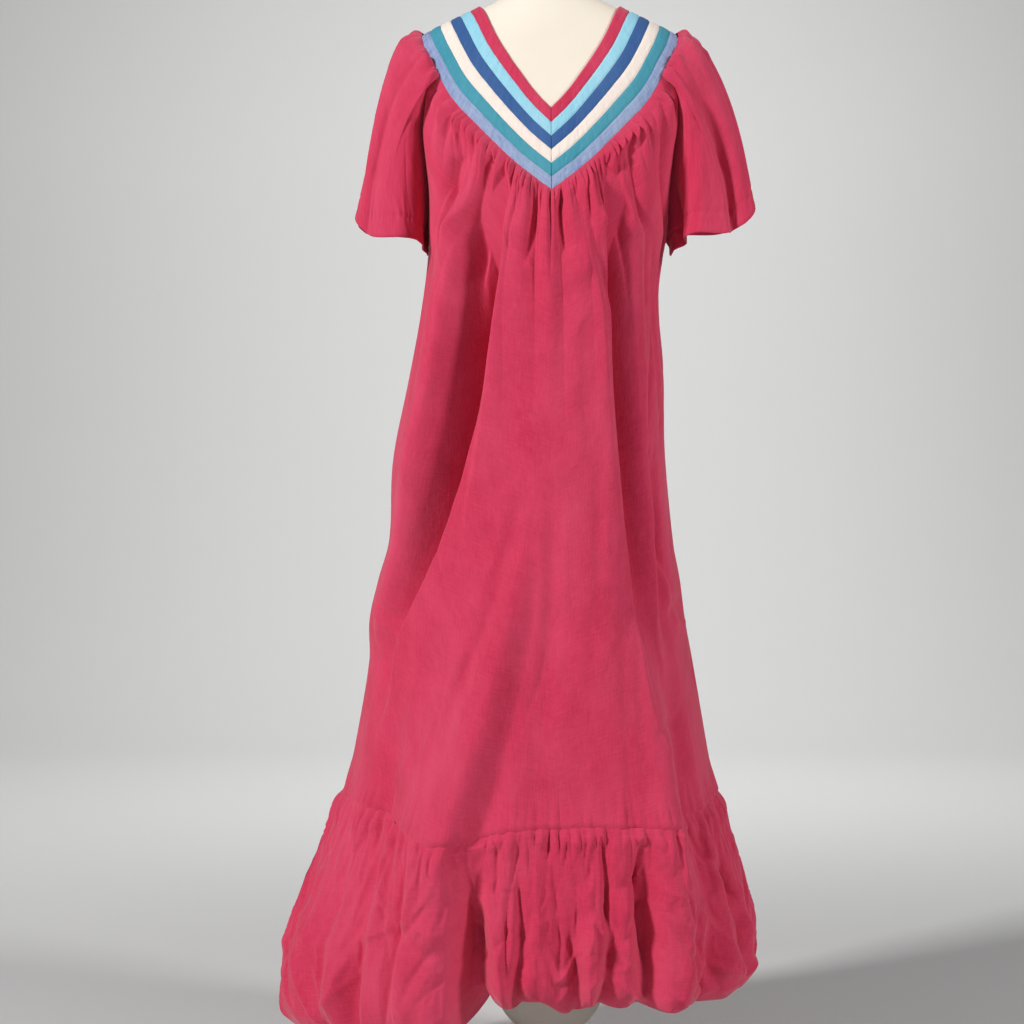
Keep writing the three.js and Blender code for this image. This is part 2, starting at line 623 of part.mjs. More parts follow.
// Rows of the body below the yoke: the drop at the middle, the drop at the side edges, and how much of the
// armhole's height is added there. The last one ends at the underarm, and even rows follow to the foot.
const PANEL_ROWS = [
  { middle: 0, side: 0, armhole: 0 },
  { middle: 7, side: 7, armhole: 0 },
  { middle: 20, side: 20, armhole: 0 },
  { middle: 44, side: 44, armhole: 0 },
  { middle: 80, side: 80, armhole: 0 },
  { middle: 112, side: 0, armhole: 0.7 },
  { middle: 150, side: 0, armhole: 1 },
];
const PANEL_FINE_ROWS = 5;
const PANEL_LOWER_ROWS = { front: 6, back: 5 };

// Front or back of the body: fine columns near the yoke, half as many below
function bodyPanel(isFront) {
  const fine = COLUMNS_PER_GATHER * (isFront ? GATHERS.front : GATHERS.back);
  const lower = isFront ? PANEL_LOWER_ROWS.front : PANEL_LOWER_ROWS.back;
  const rows = PANEL_ROWS.map((row, r) =>
    steps(r < PANEL_FINE_ROWS ? fine : fine / 2, -1, 1).map((across) =>
      panelPoint(isFront, across, panelDrop(isFront, across, row)),
    ),
  );
  for (let i = 1; i <= lower; i++) {
    rows.push(
      steps(fine / 2, -1, 1).map((across) => {
        const first = panelDrop(isFront, across, PANEL_ROWS.at(-1));
        return panelPoint(isFront, across, mix(first, panelHeight(isFront, across), i / lower));
      }),
    );
  }
  return rows;
}

// The ruffle: hangs from the body's foot, spreads in waves, and tucks under at its lower edge
function rufflePoint(deg, section, wave) {
  const at = wrapDeg(deg);
  const seamZ = ruffleSeamZ(at);
  const root = bodyPoint(deg, seamZ);
  const rootRadius = Math.hypot(root.x, root.y);
  const flare = ruffleFlare(at) * section.out - TUCK * section.tuck;
  let valley = 0;
  for (const row of RUFFLE_VALLEYS) {
    const away = wrapDeg(deg - row.deg - row.lean * section.drop);
    const share = Math.min(1, Math.abs(away) / (away < 0 ? row.left : row.right));
    valley += row.depth * Math.cos((Math.PI / 2) * share) ** 2;
  }
  const open = smoothStep(section.drop / 0.55);
  const z = mix(seamZ - SEAM_GAP, ruffleHemZ(at) + valley * VALLEY_HEM_LIFT, section.drop);
  const gather = gatherHeight(RUFFLE_GATHERS, wave, section.drop * RUFFLE_DROP);
  return onBearing(at, rootRadius + flare - valley * open + gather, z);
}

function ruffle(isFront) {
  const count = isFront ? GATHERS.ruffleFront : GATHERS.ruffleBack;
  return RUFFLE_SECTION.map((section) =>
    steps(COLUMNS_PER_RUFFLE_GATHER * count, -1, 1).map((across) => {
      const deg = (isFront ? 0 : 180) + across * SIDE_SEAM_DEG;
      const point = rufflePoint(deg, section, ((across + 1) / 2) * count);
      if (Math.abs(across) === 1) point.y = isFront ? -SEAM_GAP / 2 : SEAM_GAP / 2;
      return point;
    }),
  );
}

// The armhole seam on one side, from the yoke down to the underarm
function armholeSeam(isFront, side) {
  const across = isFront ? side : -side;
  return PANEL_ROWS.map((row) => panelPoint(isFront, across, panelDrop(isFront, across, row)));
}

function alongPath(points, share) {
  const lengths = points.slice(1).map((point, i) => point.distanceTo(points[i]));
  let left = share * lengths.reduce((sum, length) => sum + length, 0);
  for (let i = 0; i < lengths.length; i++) {
    if (left <= lengths[i]) return points[i].clone().lerp(points[i + 1], left / lengths[i]);
    left -= lengths[i];
  }
  return points.at(-1).clone();
}

// The loop that a sleeve hangs from: up the front armhole seam, along the yoke, down the back seam
function sleeveTop(side, round) {
  if (round <= SLEEVE_FRONT_SHARE) return alongPath(armholeSeam(true, side), 1 - round / SLEEVE_FRONT_SHARE);
  if (round >= SLEEVE_BACK_SHARE) {
    return alongPath(armholeSeam(false, side), (round - SLEEVE_BACK_SHARE) / (1 - SLEEVE_BACK_SHARE));
  }
  const share = (round - SLEEVE_FRONT_SHARE) / (SLEEVE_BACK_SHARE - SLEEVE_FRONT_SHARE);
  return yokePoint(side * mix(FRONT_ARMHOLE_AT, BACK_ARMHOLE_AT, share), 1);
}

function sleevePoint(sleeve, round, down) {
  const { side } = sleeve;
  const turn = 2 * Math.PI * round;
  const out = new THREE.Vector3(-side * Math.cos(turn), -Math.sin(turn), 0);
  let fold = 0;
  for (const row of sleeve.folds) {
    const away = Math.abs(round - row.at);
    if (away < row.half) fold += row.depth * Math.cos((Math.PI / 2) * (away / row.half)) ** 2;
  }
  const inward = (1 + Math.cos(turn)) / 2;
  const front = Math.max(0, Math.sin(turn));
  const back = Math.max(0, -Math.sin(turn));
  const sideShare = Math.abs(Math.sin(turn)) ** 1.5;
  const sideZ = front > 0 ? sleeve.front : sleeve.back;
  const hemZ = mix(mix(sleeve.outer, sleeve.inner, inward), sideZ, sideShare);
  const hem = new THREE.Vector3(
    side * (sleeve.centreX - sleeve.halfX * Math.cos(turn)),
    -sleeve.halfY * Math.sin(turn),
    hemZ,
  );
  const overShare = (round - SLEEVE_FRONT_SHARE * 0.5) / (1 - SLEEVE_FRONT_SHARE * 0.8);
  const over = Math.sin(Math.PI * clamp01(overShare));
  const root = sleeveTop(side, round);
  const reach = root.distanceTo(hem);
  const below = new THREE.Vector3(side * 0.6, -Math.sin(turn) * 0.2, -0.7);
  const above = new THREE.Vector3(side * Math.max(0.35, -Math.cos(turn)), -Math.sin(turn) * 0.6, -0.1);
  const start = below.lerp(above, over).normalize();
  root.addScaledVector(start, SLEEVE_SEAM_GAP);
  const upper = root.clone().addScaledVector(start, mix(reach * 0.2, sleeve.puff, over));
  const lower = hem.clone().addScaledVector(out, -reach * 0.11 * over);
  lower.z += reach * 0.52;
  const curve = new THREE.CubicBezierCurve3(root, upper, lower, hem);
  const point = curve.getPoint(down);
  point.addScaledVector(out, fold * smoothStep(down / 0.8));
  const wave = (round - SLEEVE_FRONT_SHARE) / (SLEEVE_BACK_SHARE - SLEEVE_FRONT_SHARE);
  if (wave > 0 && wave < 1) {
    const lift = gatherHeight(YOKE_GATHERS, wave * GATHERS.sleeve, down * reach);
    point.addScaledVector(out, lift * 0.6);
    point.z += lift * 0.8;
  }
  return point;
}

const SLEEVE_COLUMNS = 40;
function sleeveWall(sleeve) {
  const rounds = steps(SLEEVE_COLUMNS).slice(0, -1);
  if (sleeve.side < 0) rounds.reverse();
  return SLEEVE_ROWS.map((down) => rounds.map((round) => sleevePoint(sleeve, round, down)));
}

// The dress
BANDS.forEach((band, number) => add(band.name, wall(yokeBand(number)), band.colour));
add("front_body", wall(bodyPanel(true)), COLOURS.cloth);
add("back_body", wall(bodyPanel(false)), COLOURS.cloth);
for (const sleeve of SLEEVES) add(sleeve.name, wall(sleeveWall(sleeve), { ring: true }), COLOURS.cloth);
add("ruffle_front", wall(ruffle(true)), COLOURS.cloth);
add("ruffle_back", wall(ruffle(false)), COLOURS.cloth);

// The form and its stand
const formRings = FORM_RINGS.map((z) =>
  steps(FORM_COLUMNS, -180, 180)
    .slice(0, -1)
    .map((deg) => onBearing(deg, formRadius(deg, z), z)),
);
add("form_torso", stack(formRings), COLOURS.form);

const bulb = steps(BULB.steps, BULB.firstDeg, BULB.lastDeg).map((deg) => ({
  radius: BULB.radius * Math.cos(radians(deg)),
  z: BULB.z + BULB.height * Math.sin(radians(deg)),
}));
const standTop = bulb.at(-1).z;
const profile = [...STAND_PROFILE, ...bulb, { radius: 0, z: standTop }];
const standGeometry = new THREE.LatheGeometry(
  profile.map(({ radius, z }) => new THREE.Vector2(radius, z)),
  LATHE_COLUMNS,
);
standGeometry.rotateX(Math.PI / 2);
add("stand_base", standGeometry, COLOURS.stand, 0.6);

const poleLength = TORSO_FOOT - standTop - 2 * SEAM_GAP;
const pole = new THREE.CylinderGeometry(POLE_RADIUS, POLE_RADIUS, poleLength, LATHE_COLUMNS);
pole.rotateX(Math.PI / 2);
add("stand_pole", pole, COLOURS.pole, 0.4, 0.6).position.z = standTop + SEAM_GAP + poleLength / 2;

export default group;
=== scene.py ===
"""Looks of the kaftan maxi dress on its limbless form. Tables and shapes are in millimetres."""

import math

import bpy
import numpy as np
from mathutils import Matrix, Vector


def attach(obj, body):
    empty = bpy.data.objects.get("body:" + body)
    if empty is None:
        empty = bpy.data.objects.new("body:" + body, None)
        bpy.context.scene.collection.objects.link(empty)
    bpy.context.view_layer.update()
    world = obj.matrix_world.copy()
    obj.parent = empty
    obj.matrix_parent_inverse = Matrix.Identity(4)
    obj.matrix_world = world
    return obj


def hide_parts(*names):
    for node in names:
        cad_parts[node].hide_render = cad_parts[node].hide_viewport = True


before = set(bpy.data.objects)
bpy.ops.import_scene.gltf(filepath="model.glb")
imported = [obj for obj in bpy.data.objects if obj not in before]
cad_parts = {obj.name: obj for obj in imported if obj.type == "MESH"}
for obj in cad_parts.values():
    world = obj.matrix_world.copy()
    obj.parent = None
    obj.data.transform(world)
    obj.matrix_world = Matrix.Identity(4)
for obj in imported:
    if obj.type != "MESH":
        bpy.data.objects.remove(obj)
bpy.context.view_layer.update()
scene = bpy.context.scene

MM = 0.001


def rows_of(names, rows):
    """A table as dicts, with one name for each column."""
    return [dict(zip(names.split(), row)) for row in rows]


# Driving sizes, as in the part
WALL = 1.5
FORM_CLEARANCE = 1.7
CLOTH_LIFT = WALL + FORM_CLEARANCE
PANEL_LIFT = CLOTH_LIFT + 0.3
YOKE_TUCK = ((0.94, 1.2), (0.975, 1.5))
SHOULDER_EASE = {"at": 0.54, "half": 0.1, "lift": 0.6}
UNDERARM_Z = 1105.0
SIDE_SEAM_DEG = 90.0
HELD_DROP = 120.0
SETTLED_DROP = 190.0
SEAM_GAP = 0.5

# Camera: level, in front of the dress, at the distance and height that the photograph shows
CAMERA = {
    "x": -48.0, "distance": 2200.0, "height": 755.0,
    "mm_per_pixel": 1.28, "pixels": 1024, "sensor": 36.0,
}

FORM_SECTIONS = rows_of("z half front back square", [
    (690, 116, 84, 86, 2.1), (704, 126, 92, 95, 2.1), (760, 131, 98, 101, 2.1),
    (830, 129, 100, 102, 2.1), (900, 120, 95, 94, 2.1), (980, 110, 89, 82, 2.1),
    (1040, 117, 98, 84, 2.1), (1085, 127, 112, 87, 2.2), (1120, 133, 117, 90, 2.3),
    (1155, 138, 111, 92, 2.4), (1200, 150, 99, 93, 2.5), (1250, 170, 87, 92, 2.7),
    (1300, 183, 77, 88, 2.7), (1335, 180, 70, 82, 2.5), (1351, 170, 67, 79, 2.3),
    (1363, 154, 64, 76, 2.2), (1380, 120, 60, 72, 2.1), (1396, 86, 56, 68, 2),
    (1407, 66, 53, 65, 2), (1422, 58, 51, 62, 2), (1450, 56, 50, 60, 2), (1474, 55, 49, 59, 2),
    (1482, 48, 42, 52, 2),
])

DRESS_SECTIONS = rows_of("z left right front back square", [
    (380, 264, 215, 232, 203, 2), (463, 247, 199, 217, 190, 2), (566, 230, 181, 197, 175, 2),
    (617, 230, 172, 187, 167, 2), (668, 219, 166, 178, 159, 2), (719, 205, 157, 170, 152, 2),
    (822, 200, 148, 157, 139, 2), (924, 180, 144, 146, 126, 2), (1026, 161, 135, 138, 114, 2.1),
    (1077, 154, 139, 134, 109, 2.1), (1105, 152, 143, 131, 107, 2.2),
    (1150, 152, 147, 122, 105, 2.3), (1200, 156, 154, 109, 103, 2.5),
    (1250, 166, 166, 95, 100, 2.5), (1300, 174, 174, 83, 95, 2.6),
    (1350, 176, 176, 72, 88, 2.4),
])

YOKE_EDGES = rows_of("at neckX neckY neckZ edgeX edgeY edgeZ", [
    (0.0, 0, -90, 1251, 0, -115, 1145), (0.12, 20, -86, 1273, 31, -111, 1170),
    (0.24, 38, -80, 1298, 61, -102, 1198), (0.36, 56, -70, 1325, 94, -86, 1233),
    (0.46, 71, -54, 1352, 122, -72, 1266), (0.54, 82, -30, 1380, 143, -58, 1307),
    (0.62, 90, 0, 1399, 160, 0, 1364), (0.72, 80, 34, 1393, 148, 44, 1346),
    (0.82, 58, 58, 1383, 116, 74, 1316), (0.91, 31, 68, 1376, 62, 90, 1298),
    (1.0, 0, 72, 1374, 0, 93, 1293), (1.09, -31, 68, 1376, -62, 90, 1298),
])
FRONT_ARMHOLE_AT = 0.52
BACK_ARMHOLE_AT = 0.73

FRONT_EDGE_DEG = rows_of("z deg", [
    (UNDERARM_Z, 90), (1135, 84), (1170, 80), (1240, 73.5), (1300, 68),
])
BACK_EDGE_DEG = rows_of("z deg", [
    (UNDERARM_Z, 90), (1135, 96), (1170, 100), (1250, 104.5), (1344, 107),
])
RUFFLE_SEAM = rows_of("deg z", [
    (-180, 398), (-90, 400), (-60, 394), (-42, 383), (-28, 371), (-12, 385), (10, 388),
    (40, 384), (60, 393), (90, 400), (180, 398),
])

# Large folds: top and foot heights; bearing and depth at top, middle and foot; half widths in degrees
FRONT_FOLDS = rows_of("top foot deg depth left right", [
    (1185, 585, (-27, -37, -66), (-26, -56, -16), 14, 4.6),
    (1200, 1005, (-33, -39, -41), (-10, -14, -6), 6, 3),
    (1200, 1060, (-50, -55, -56), (-6, -12, -4), 4, 5),
    (1170, 620, (-49, -49.5, -68), (10, 40, -2), 23, 8),
    (1150, 760, (-22, -27, -34), (4, 9, 4), 4, 14),
    (1195, 590, (31, 34.5, 38), (-18, -33, -10), 4.2, 13),
    (1140, 650, (19, 26, 30), (4, 6, 0), 12, 5),
    (1120, 700, (49, 52, 53), (4, 5, 2), 8, 8),
    (800, 540, (1, 0, -2), (-1, -5, -3), 6, 6),
    (800, 470, (-11, -23, -35), (-1, -7, -4), 6, 6),
    (740, 370, (-13, -20, -30), (2, 22, 42), 26, 10),
    (660, 370, (-3, 0, 2), (-1, -8, -14), 16, 26),
    (640, 370, (36, 38, 36), (1, 12, 20), 14, 8),
    (840, 590, (59, 55, 50), (-2, -13, -3), 5, 6),
    (580, 370, (48, 49, 49), (-2, -10, -14), 8, 9),
    (580, 370, (-58, -56, -54), (-2, -8, -13), 10, 9),
    (1080, 880, (68, 68, 69), (-2, -5, -2), 5, 5),
])
BACK_FOLDS = rows_of("top foot deg depth left right", [
    (1240, 370, (112, 113, 115), (-2, -9, -15), 9, 9),
    (1230, 370, (134, 132, 131), (4, 10, 20), 10, 12),
    (1240, 370, (150, 152, 153), (-3, -13, -22), 9, 8),
    (1220, 370, (166, 170, 172), (4, 10, 17), 10, 10),
    (1240, 370, (182, 188, 191), (-3, -12, -19), 8, 9),
    (1220, 370, (197, 205, 209), (4, 9, 20), 9, 11),
    (1240, 370, (215, 226, 231), (-3, -12, -20), 9, 9),
    (1230, 370, (236, 243, 248), (4, 7, 12), 10, 8),
])

RUFFLE_SPREAD = rows_of("deg flare hem", [
    (-180, 46, 142), (-135, 64, 132), (-90, 84, 118), (-60, 72, 134), (-42, 44, 152),
    (-27, 18, 164), (-23, 19, 193), (-12, 24, 190), (-4, 24, 198), (4, 24, 180), (11, 25, 192),
    (24, 28, 188), (42, 38, 180), (66, 50, 174), (90, 54, 165), (135, 52, 150), (180, 46, 142),
])
RUFFLE_SECTION = rows_of("along drop out tuck", [
    (0.0, 0, 0, 0), (0.06, 0.06, 0.09, 0), (0.18, 0.19, 0.31, 0), (0.38, 0.42, 0.66, 0),
    (0.6, 0.7, 0.95, 0), (0.76, 0.91, 1, 0.08), (0.88, 1, 0.9, 0.45), (1.0, 0.96, 0.8, 1),
])
TUCK = 58.0
RIDGED = 7.0
RUFFLE_VALLEYS = rows_of("deg lean depth left right", [
    (-84, 2, 12, 6, 6), (-66, 4, 16, 9, 5), (-50, -3, 14, 5, 6), (-39, 3, 9, 4, 4),
    (-24, -1, 38, 2.4, 11), (-8.5, -1.5, 16, 2.4, 5), (0, 3, 7, 6, 5), (6, 1, 8, 4, 3),
    (14, 1, 10, 3, 5), (26.5, 2, 27, 8, 3.5), (44, -6, 14, 6, 6), (60, 8, 17, 7, 5),
    (79, 0, 13, 7, 7), (97, 2, 16, 7, 7), (113, -3, 20, 7, 5), (128, 2, 14, 6, 6),
    (143, 3, 22, 8, 5), (158, -2, 15, 6, 6), (172, 2, 24, 5, 8), (188, -2, 16, 7, 7),
    (203, 3, 22, 6, 6), (218, -3, 14, 7, 5), (233, 2, 20, 5, 8), (248, -2, 15, 6, 6),
    (262, 2, 12, 6, 6),
])

# Creases (below 0) and ridges of the ruffle's front: bearing and share of the drop at both ends,
# then depth and half width
RUFFLE_CREASES = [
    (-70, 0.02, -82, 0.45, -6, 9), (-52, 0.0, -67, 0.33, -5, 8), (-47, 0.05, -58, 0.7, 7, 8),
    (-60, 0.5, -38, 0.38, 6, 5), (-47, 0.28, -40, 0.5, -6, 5), (-62, 0.72, -50, 0.56, 5, 5),
    (-85, 0.66, -74, 0.45, -4, 7), (-85, 0.8, -76, 0.9, 5, 6), (-39, 0.08, -42, 0.9, -7, 6),
    (-32, 0.1, -35, 0.97, 7, 6), (-30, 0.25, -37, 0.45, -5, 4), (-28, 0.45, -34, 0.66, -5, 4),
    (-22, 0.28, -13, 0.78, 7, 5), (-20, 0.62, -12, 0.46, -5, 5), (-17, 0.0, -16, 0.3, -6, 4),
    (-9, 0.0, -10.5, 0.92, -8, 4), (-2, 0.0, -4, 0.4, -4, 5), (0, 0.7, 10, 0.46, 8, 4.5),
    (4.5, 0.48, 7, 0.92, -10, 4.5), (10, 0.44, 11.5, 0.9, 8, 5), (14, 0.04, 15, 0.44, -9, 4),
    (17.5, 0.04, 19, 0.42, 6, 5), (19, 0.54, 28, 0.34, -7, 5), (26, 0.04, 27, 0.62, -9, 4.5),
    (29, 0.28, 58, 0.62, 7, 6), (30, 0.42, 48, 0.76, -7, 5.5), (36, 0.04, 66, 0.42, -6, 6),
    (23, 0.74, 38, 0.92, 6, 5), (48, 0.04, 54, 0.32, -6, 5), (60, 0.3, 80, 0.6, -5, 7),
    (52, 0.62, 72, 0.86, 6, 6),
]
# The same on the front: share of the half width and fall below the yoke at both ends,
# then depth and half width
BODY_CREASES = [
    (-0.47, 40, -0.5, 190, -8, 5), (-0.33, 30, -0.37, 150, -7, 4), (-0.56, 20, -0.6, 120, 7, 5),
    (0.28, 6, 0.41, 90, 8, 4.5), (0.44, 6, 0.55, 90, -9, 4.5), (0.29, 36, 0.34, 175, -8, 5),
    (0.16, 16, 0.2, 130, 6, 6), (0.6, 20, 0.68, 130, -7, 5), (-0.375, 75, -0.4, 225, -9, 3.5),
    (-0.4, 215, -0.53, 450, -7, 4), (0.69, 140, 0.62, 345, -6, 4), (0.62, 325, 0.68, 570, -6, 4),
    (-0.14, 10, -0.17, 110, -6, 4), (-0.24, 8, -0.27, 90, 7, 4.5), (-0.72, 15, -0.74, 100, -6, 4.5),
    (0.08, 12, 0.09, 90, -5, 4), (-0.82, 610, -0.66, 632, -4, 5), (-0.86, 628, -0.72, 640, 3, 5),
    (0.6, 590, 0.9, 622, -5, 5), (0.66, 606, 0.86, 642, 4, 5), (0.4, 690, 0.58, 716, -4, 6),
    (0.44, 716, 0.6, 690, 3, 5), (0.05, 500, 0.02, 620, -2, 8), (-0.2, 560, -0.3, 720, 3, 9),
]

SLEEVE_FOLDS = {
    -1: rows_of("at depth half", [
        (0.05, -4, 0.04), (0.2, 3, 0.09), (0.34, -4, 0.07), (0.6, 6, 0.08),
        (0.72, -8, 0.07), (0.85, 6, 0.06),
    ]),
    1: rows_of("at depth half", [
        (0.085, -12, 0.05), (0.21, 7, 0.07), (0.32, -15, 0.05), (0.41, 6, 0.06),
        (0.63, -8, 0.07), (0.76, 6, 0.07), (0.87, -6, 0.06),
    ]),
}
SLEEVES = rows_of("name side centreX halfX halfY outer front inner back puff", [
    ("sleeve_left", -1, 201, 45.5, 64, 1131, 1097, 1084, 1117, 40),
    ("sleeve_right", 1, 206, 51, 64, 1155, 1102, 1084, 1121, 40),
])
SLEEVE_FRONT_SHARE = 0.27
SLEEVE_BACK_SHARE = 0.69
SLEEVE_UNDERLAP = 2.0
SLEEVE_SQUARE = 0.75
SLEEVE_HEM = 17.0
# Shares of a sleeve's length that shape its fall, and the heights at its hem's stitching
SLEEVE_FLOW = {"under": 0.2, "inward": 0.11, "rise": 0.52}
HEM_RELIEF = {"pucker": 0.35, "stitch": 1.6, "groove": 0.9, "roll": 0.7}

STAND_PROFILE = [(0, 0), (158, 0), (160, 8), (154, 15), (88, 24), (38, 38), (27, 60), (30, 84)]
BULB = {"radius": 72, "height": 76, "z": 162, "firstDeg": -60, "lastDeg": 76}
AXIS_GAP = 0.01

# Gathers below the yoke and below the ruffle's seam: count over the whole seam, height and reach of each size
YOKE_GATHERS = rows_of("count start height peak reach edge", [
    (1.25, 3.4, 7.0, 6, 48, 0.42), (0.8, 1.4, 8.0, 18, 130, 0.6),
    (0.43, 0.0, 11.0, 60, 420, 0.75),
])
RUFFLE_GATHERS = rows_of("count start height peak reach edge", [
    (1.2, 3.6, 8.0, 9, 56, 0.42), (0.7, 1.4, 7.0, 20, 95, 0.6), (0.3, 0.0, 6.0, 60, 240, 0.75),
])
GATHERS = {"front": 30, "back": 26, "foot": 44, "sleeve": 13, "ruffle_front": 38, "ruffle_back": 36}
# How far gathers wander across and down the cloth, in shares of a gather, and how unevenly they lie
SWAY = {"across": 0.42, "down": 0.3, "fall": 160, "uneven": 0.11}
# Extra height of the yoke's gathers towards the armholes, and share of the ruffle's that a panel's foot takes
OUTER_GATHERS = 0.85
FOOT_PUCKER = 0.45
# How far cloth sinks into a seam
SEAM_DIP = {"yoke": 1.6, "foot": 1.2, "ruffle": 2.2}

# Slow waves down a panel
WANDER = rows_of("height wide long", [(1.1, 26, 230), (0.5, 11, 120)])

# Nets of creases in the ruffle: height, size of a cell, slant, fall where they start and are whole
NETS = rows_of("height size slant start reach", [
    (1.0, (52, 88), 34, 30, 90),
    (0.4, (27, 46), -38, 20, 60),
])

# A crease's roundness and the spread of its soft side, as shares of its width
BLUNT = 0.3
SOFT_SIDE = 2.2

# Seeded creases: count, area across and down, slant in degrees, half length, width, depth
LOW_CREASES = (52, ((-300, 300), (330, 760)), (-38, 38), (18, 62), (3, 8), (0.7, 2.2))
HIGH_CREASES = (26, ((-140, 140), (30, 330)), (-30, 30), (16, 50), (2.5, 6), (0.4, 1.3))
SLEEVE_CREASES = (42, ((20, 440), (20, 240)), (-60, 60), (12, 44), (2.5, 7), (0.6, 2.2))
RUFFLE_CRUMPLES = (((-470, 470), (50, 300)), (-70, 70), (22, 80), (4, 11), (2.0, 6.0))
RUFFLE_CRUMPLE_COUNT = {True: 70, False: 120}

# Half widths of the cloth at the top and the foot of a panel and of the ruffle
PANEL_CLOTH = (150, 330)
RUFFLE_CLOTH = (380, 480)
RUFFLE_FALL = 312.5
YOKE_LENGTH = 560.0
BAND_WIDTH = 13.0
# A strip's crown between its seams, the dip at its mitre and its fine puckers
CROWN = {"height": 1.0, "edge": 0.16, "sink": 0.9, "mitre": 1.3, "mitre_width": 1.6, "rim": 0.9}
BAND_PUCKER = {"height": 0.28, "long": 5.5}
SLEEVE_ROUND = 460.0

# Mesh steps: columns and rows of each sheet, and how much closer a panel's rows lie at the yoke
ROW_EASE = 0.55
GRID = {
    "front_body": (416, 236),
    "back_body": (250, 190),
    "sleeve": (260, 110),
    "ruffle_front": (560, 130),
    "ruffle_back": (400, 90),
    "band": (560, 9),
    "form": (128, 190),
}


def smooth_step(value):
    t = np.clip(value, 0.0, 1.0)
    return t * t * (3 - 2 * t)


def mix(a, b, share):
    return a + (b - a) * share


def bell(value, centre, width):
    return np.exp(-(((value - centre) / width) ** 2))


def unit(vectors):
    return vectors / np.linalg.norm(vectors, axis=-1, keepdims=True)


def curve(rows, key, name):
    """A smooth curve through one column of a table, level past both ends."""
    keys = np.array([row[key] for row in rows], float)
    values = np.array([row[name] for row in rows], float)
    before = np.maximum(np.arange(len(keys)) - 1, 0)
    after = np.minimum(np.arange(len(keys)) + 1, len(keys) - 1)
    slopes = (values[after] - values[before]) / (keys[after] - keys[before])

    def at(x):
        x = np.clip(x, keys[0], keys[-1])
        i = np.clip(np.searchsorted(keys, x, side="right") - 1, 0, len(keys) - 2)
        step = keys[i + 1] - keys[i]
        t = (x - keys[i]) / step
        t2 = t * t
        t3 = t2 * t
        start = (2 * t3 - 3 * t2 + 1) * values[i] + (t3 - 2 * t2 + t) * step * slopes[i]
        return start + (3 * t2 - 2 * t3) * values[i + 1] + (t3 - t2) * step * slopes[i + 1]

    return at


def curves(rows, key):
    return {name: curve(rows, key, name) for name in rows[0] if name != key}


form_section = curves(FORM_SECTIONS, "z")
dress_section = curves(DRESS_SECTIONS, "z")
yoke_edge = curves(YOKE_EDGES, "at")
front_edge_deg = curve(FRONT_EDGE_DEG, "z", "deg")
back_edge_deg = curve(BACK_EDGE_DEG, "z", "deg")
ruffle_seam_z = curve(RUFFLE_SEAM, "deg", "z")
ruffle_spread = curves(RUFFLE_SPREAD, "deg")
ruffle_section = curves(RUFFLE_SECTION, "along")


def wrap_deg(deg):
    return deg - 360 * np.floor((deg + 180) / 360)


def bearing(points):
    return np.degrees(np.arctan2(points[..., 0], -points[..., 1]))


def oval_radius(deg, across, along, square):
    sine = np.abs(np.sin(np.radians(deg)))
    cosine = np.abs(np.cos(np.radians(deg)))
    return ((sine / across) ** square + (cosine / along) ** square) ** (-1 / square)


def form_radius(deg, z):
    along = np.where(np.abs(deg) < 90, form_section["front"](z), form_section["back"](z))
    return oval_radius(deg, form_section["half"](z), along, form_section["square"](z))


def dress_radius(deg, z):
    across = np.where(deg < 0, dress_section["left"](z), dress_section["right"](z))
    along = np.where(np.abs(deg) < 90, dress_section["front"](z), dress_section["back"](z))
    return oval_radius(deg, across, along, dress_section["square"](z))


def on_bearing(deg, radius, z):
    deg, radius, z = np.broadcast_arrays(deg, radius, z)
    turn = np.radians(deg)
    return np.stack([radius * np.sin(turn), -radius * np.cos(turn), z.astype(float)], -1)


def form_offset(points):
    """Distance outside the form, and the way out, to first order."""
    probe = 0.5

    def beyond(p):
        return np.hypot(p[..., 0], p[..., 1]) - form_radius(bearing(p), p[..., 2])

    rises = [beyond(points + probe * axis) - beyond(points - probe * axis) for axis in np.eye(3)]
    slope = np.stack(rises, -1) / (2 * probe)
    steepness = np.linalg.norm(slope, axis=-1)
    return beyond(points) / steepness, slope / steepness[..., None]


def lift_from_form(points, lift, rounds=6):
    for _ in range(rounds):
        distance, outward = form_offset(points)
        points = points + outward * (lift - distance)[..., None]
    return points


def clear_of_form(points):
    """Moves what lies too close to the form, or in it, out to a sheet's lift."""
    distance, outward = form_offset(points)
    above = points[..., 2] > FORM_SECTIONS[0]["z"]
    short = np.where(above, np.maximum(0, PANEL_LIFT - distance), 0)
    return points + outward * short[..., None]


def yoke_point(place, share):
    place, share = np.broadcast_arrays(np.asarray(place, float), np.asarray(share, float))
    at = np.abs(place)
    neck, edge = [[yoke_edge[end + axis](at) for axis in "XYZ"] for end in ("neck", "edge")]
    points = np.stack([mix(a, b, share) for a, b in zip(neck, edge)], -1)
    ease = 1 - smooth_step(np.abs(at - SHOULDER_EASE["at"]) / SHOULDER_EASE["half"])
    points = lift_from_form(points, CLOTH_LIFT + SHOULDER_EASE["lift"] * ease)
    points[..., 0] = np.where((at == 0) | (at == 1), 0, points[..., 0]) * np.where(place < 0, -1, 1)
    return points


def three_point(values, share):
    start, middle, end = values
    near_start = start * (1 - share) * (1 - 2 * share)
    near_end = end * share * (2 * share - 1)
    return near_start + middle * 4 * share * (1 - share) + near_end


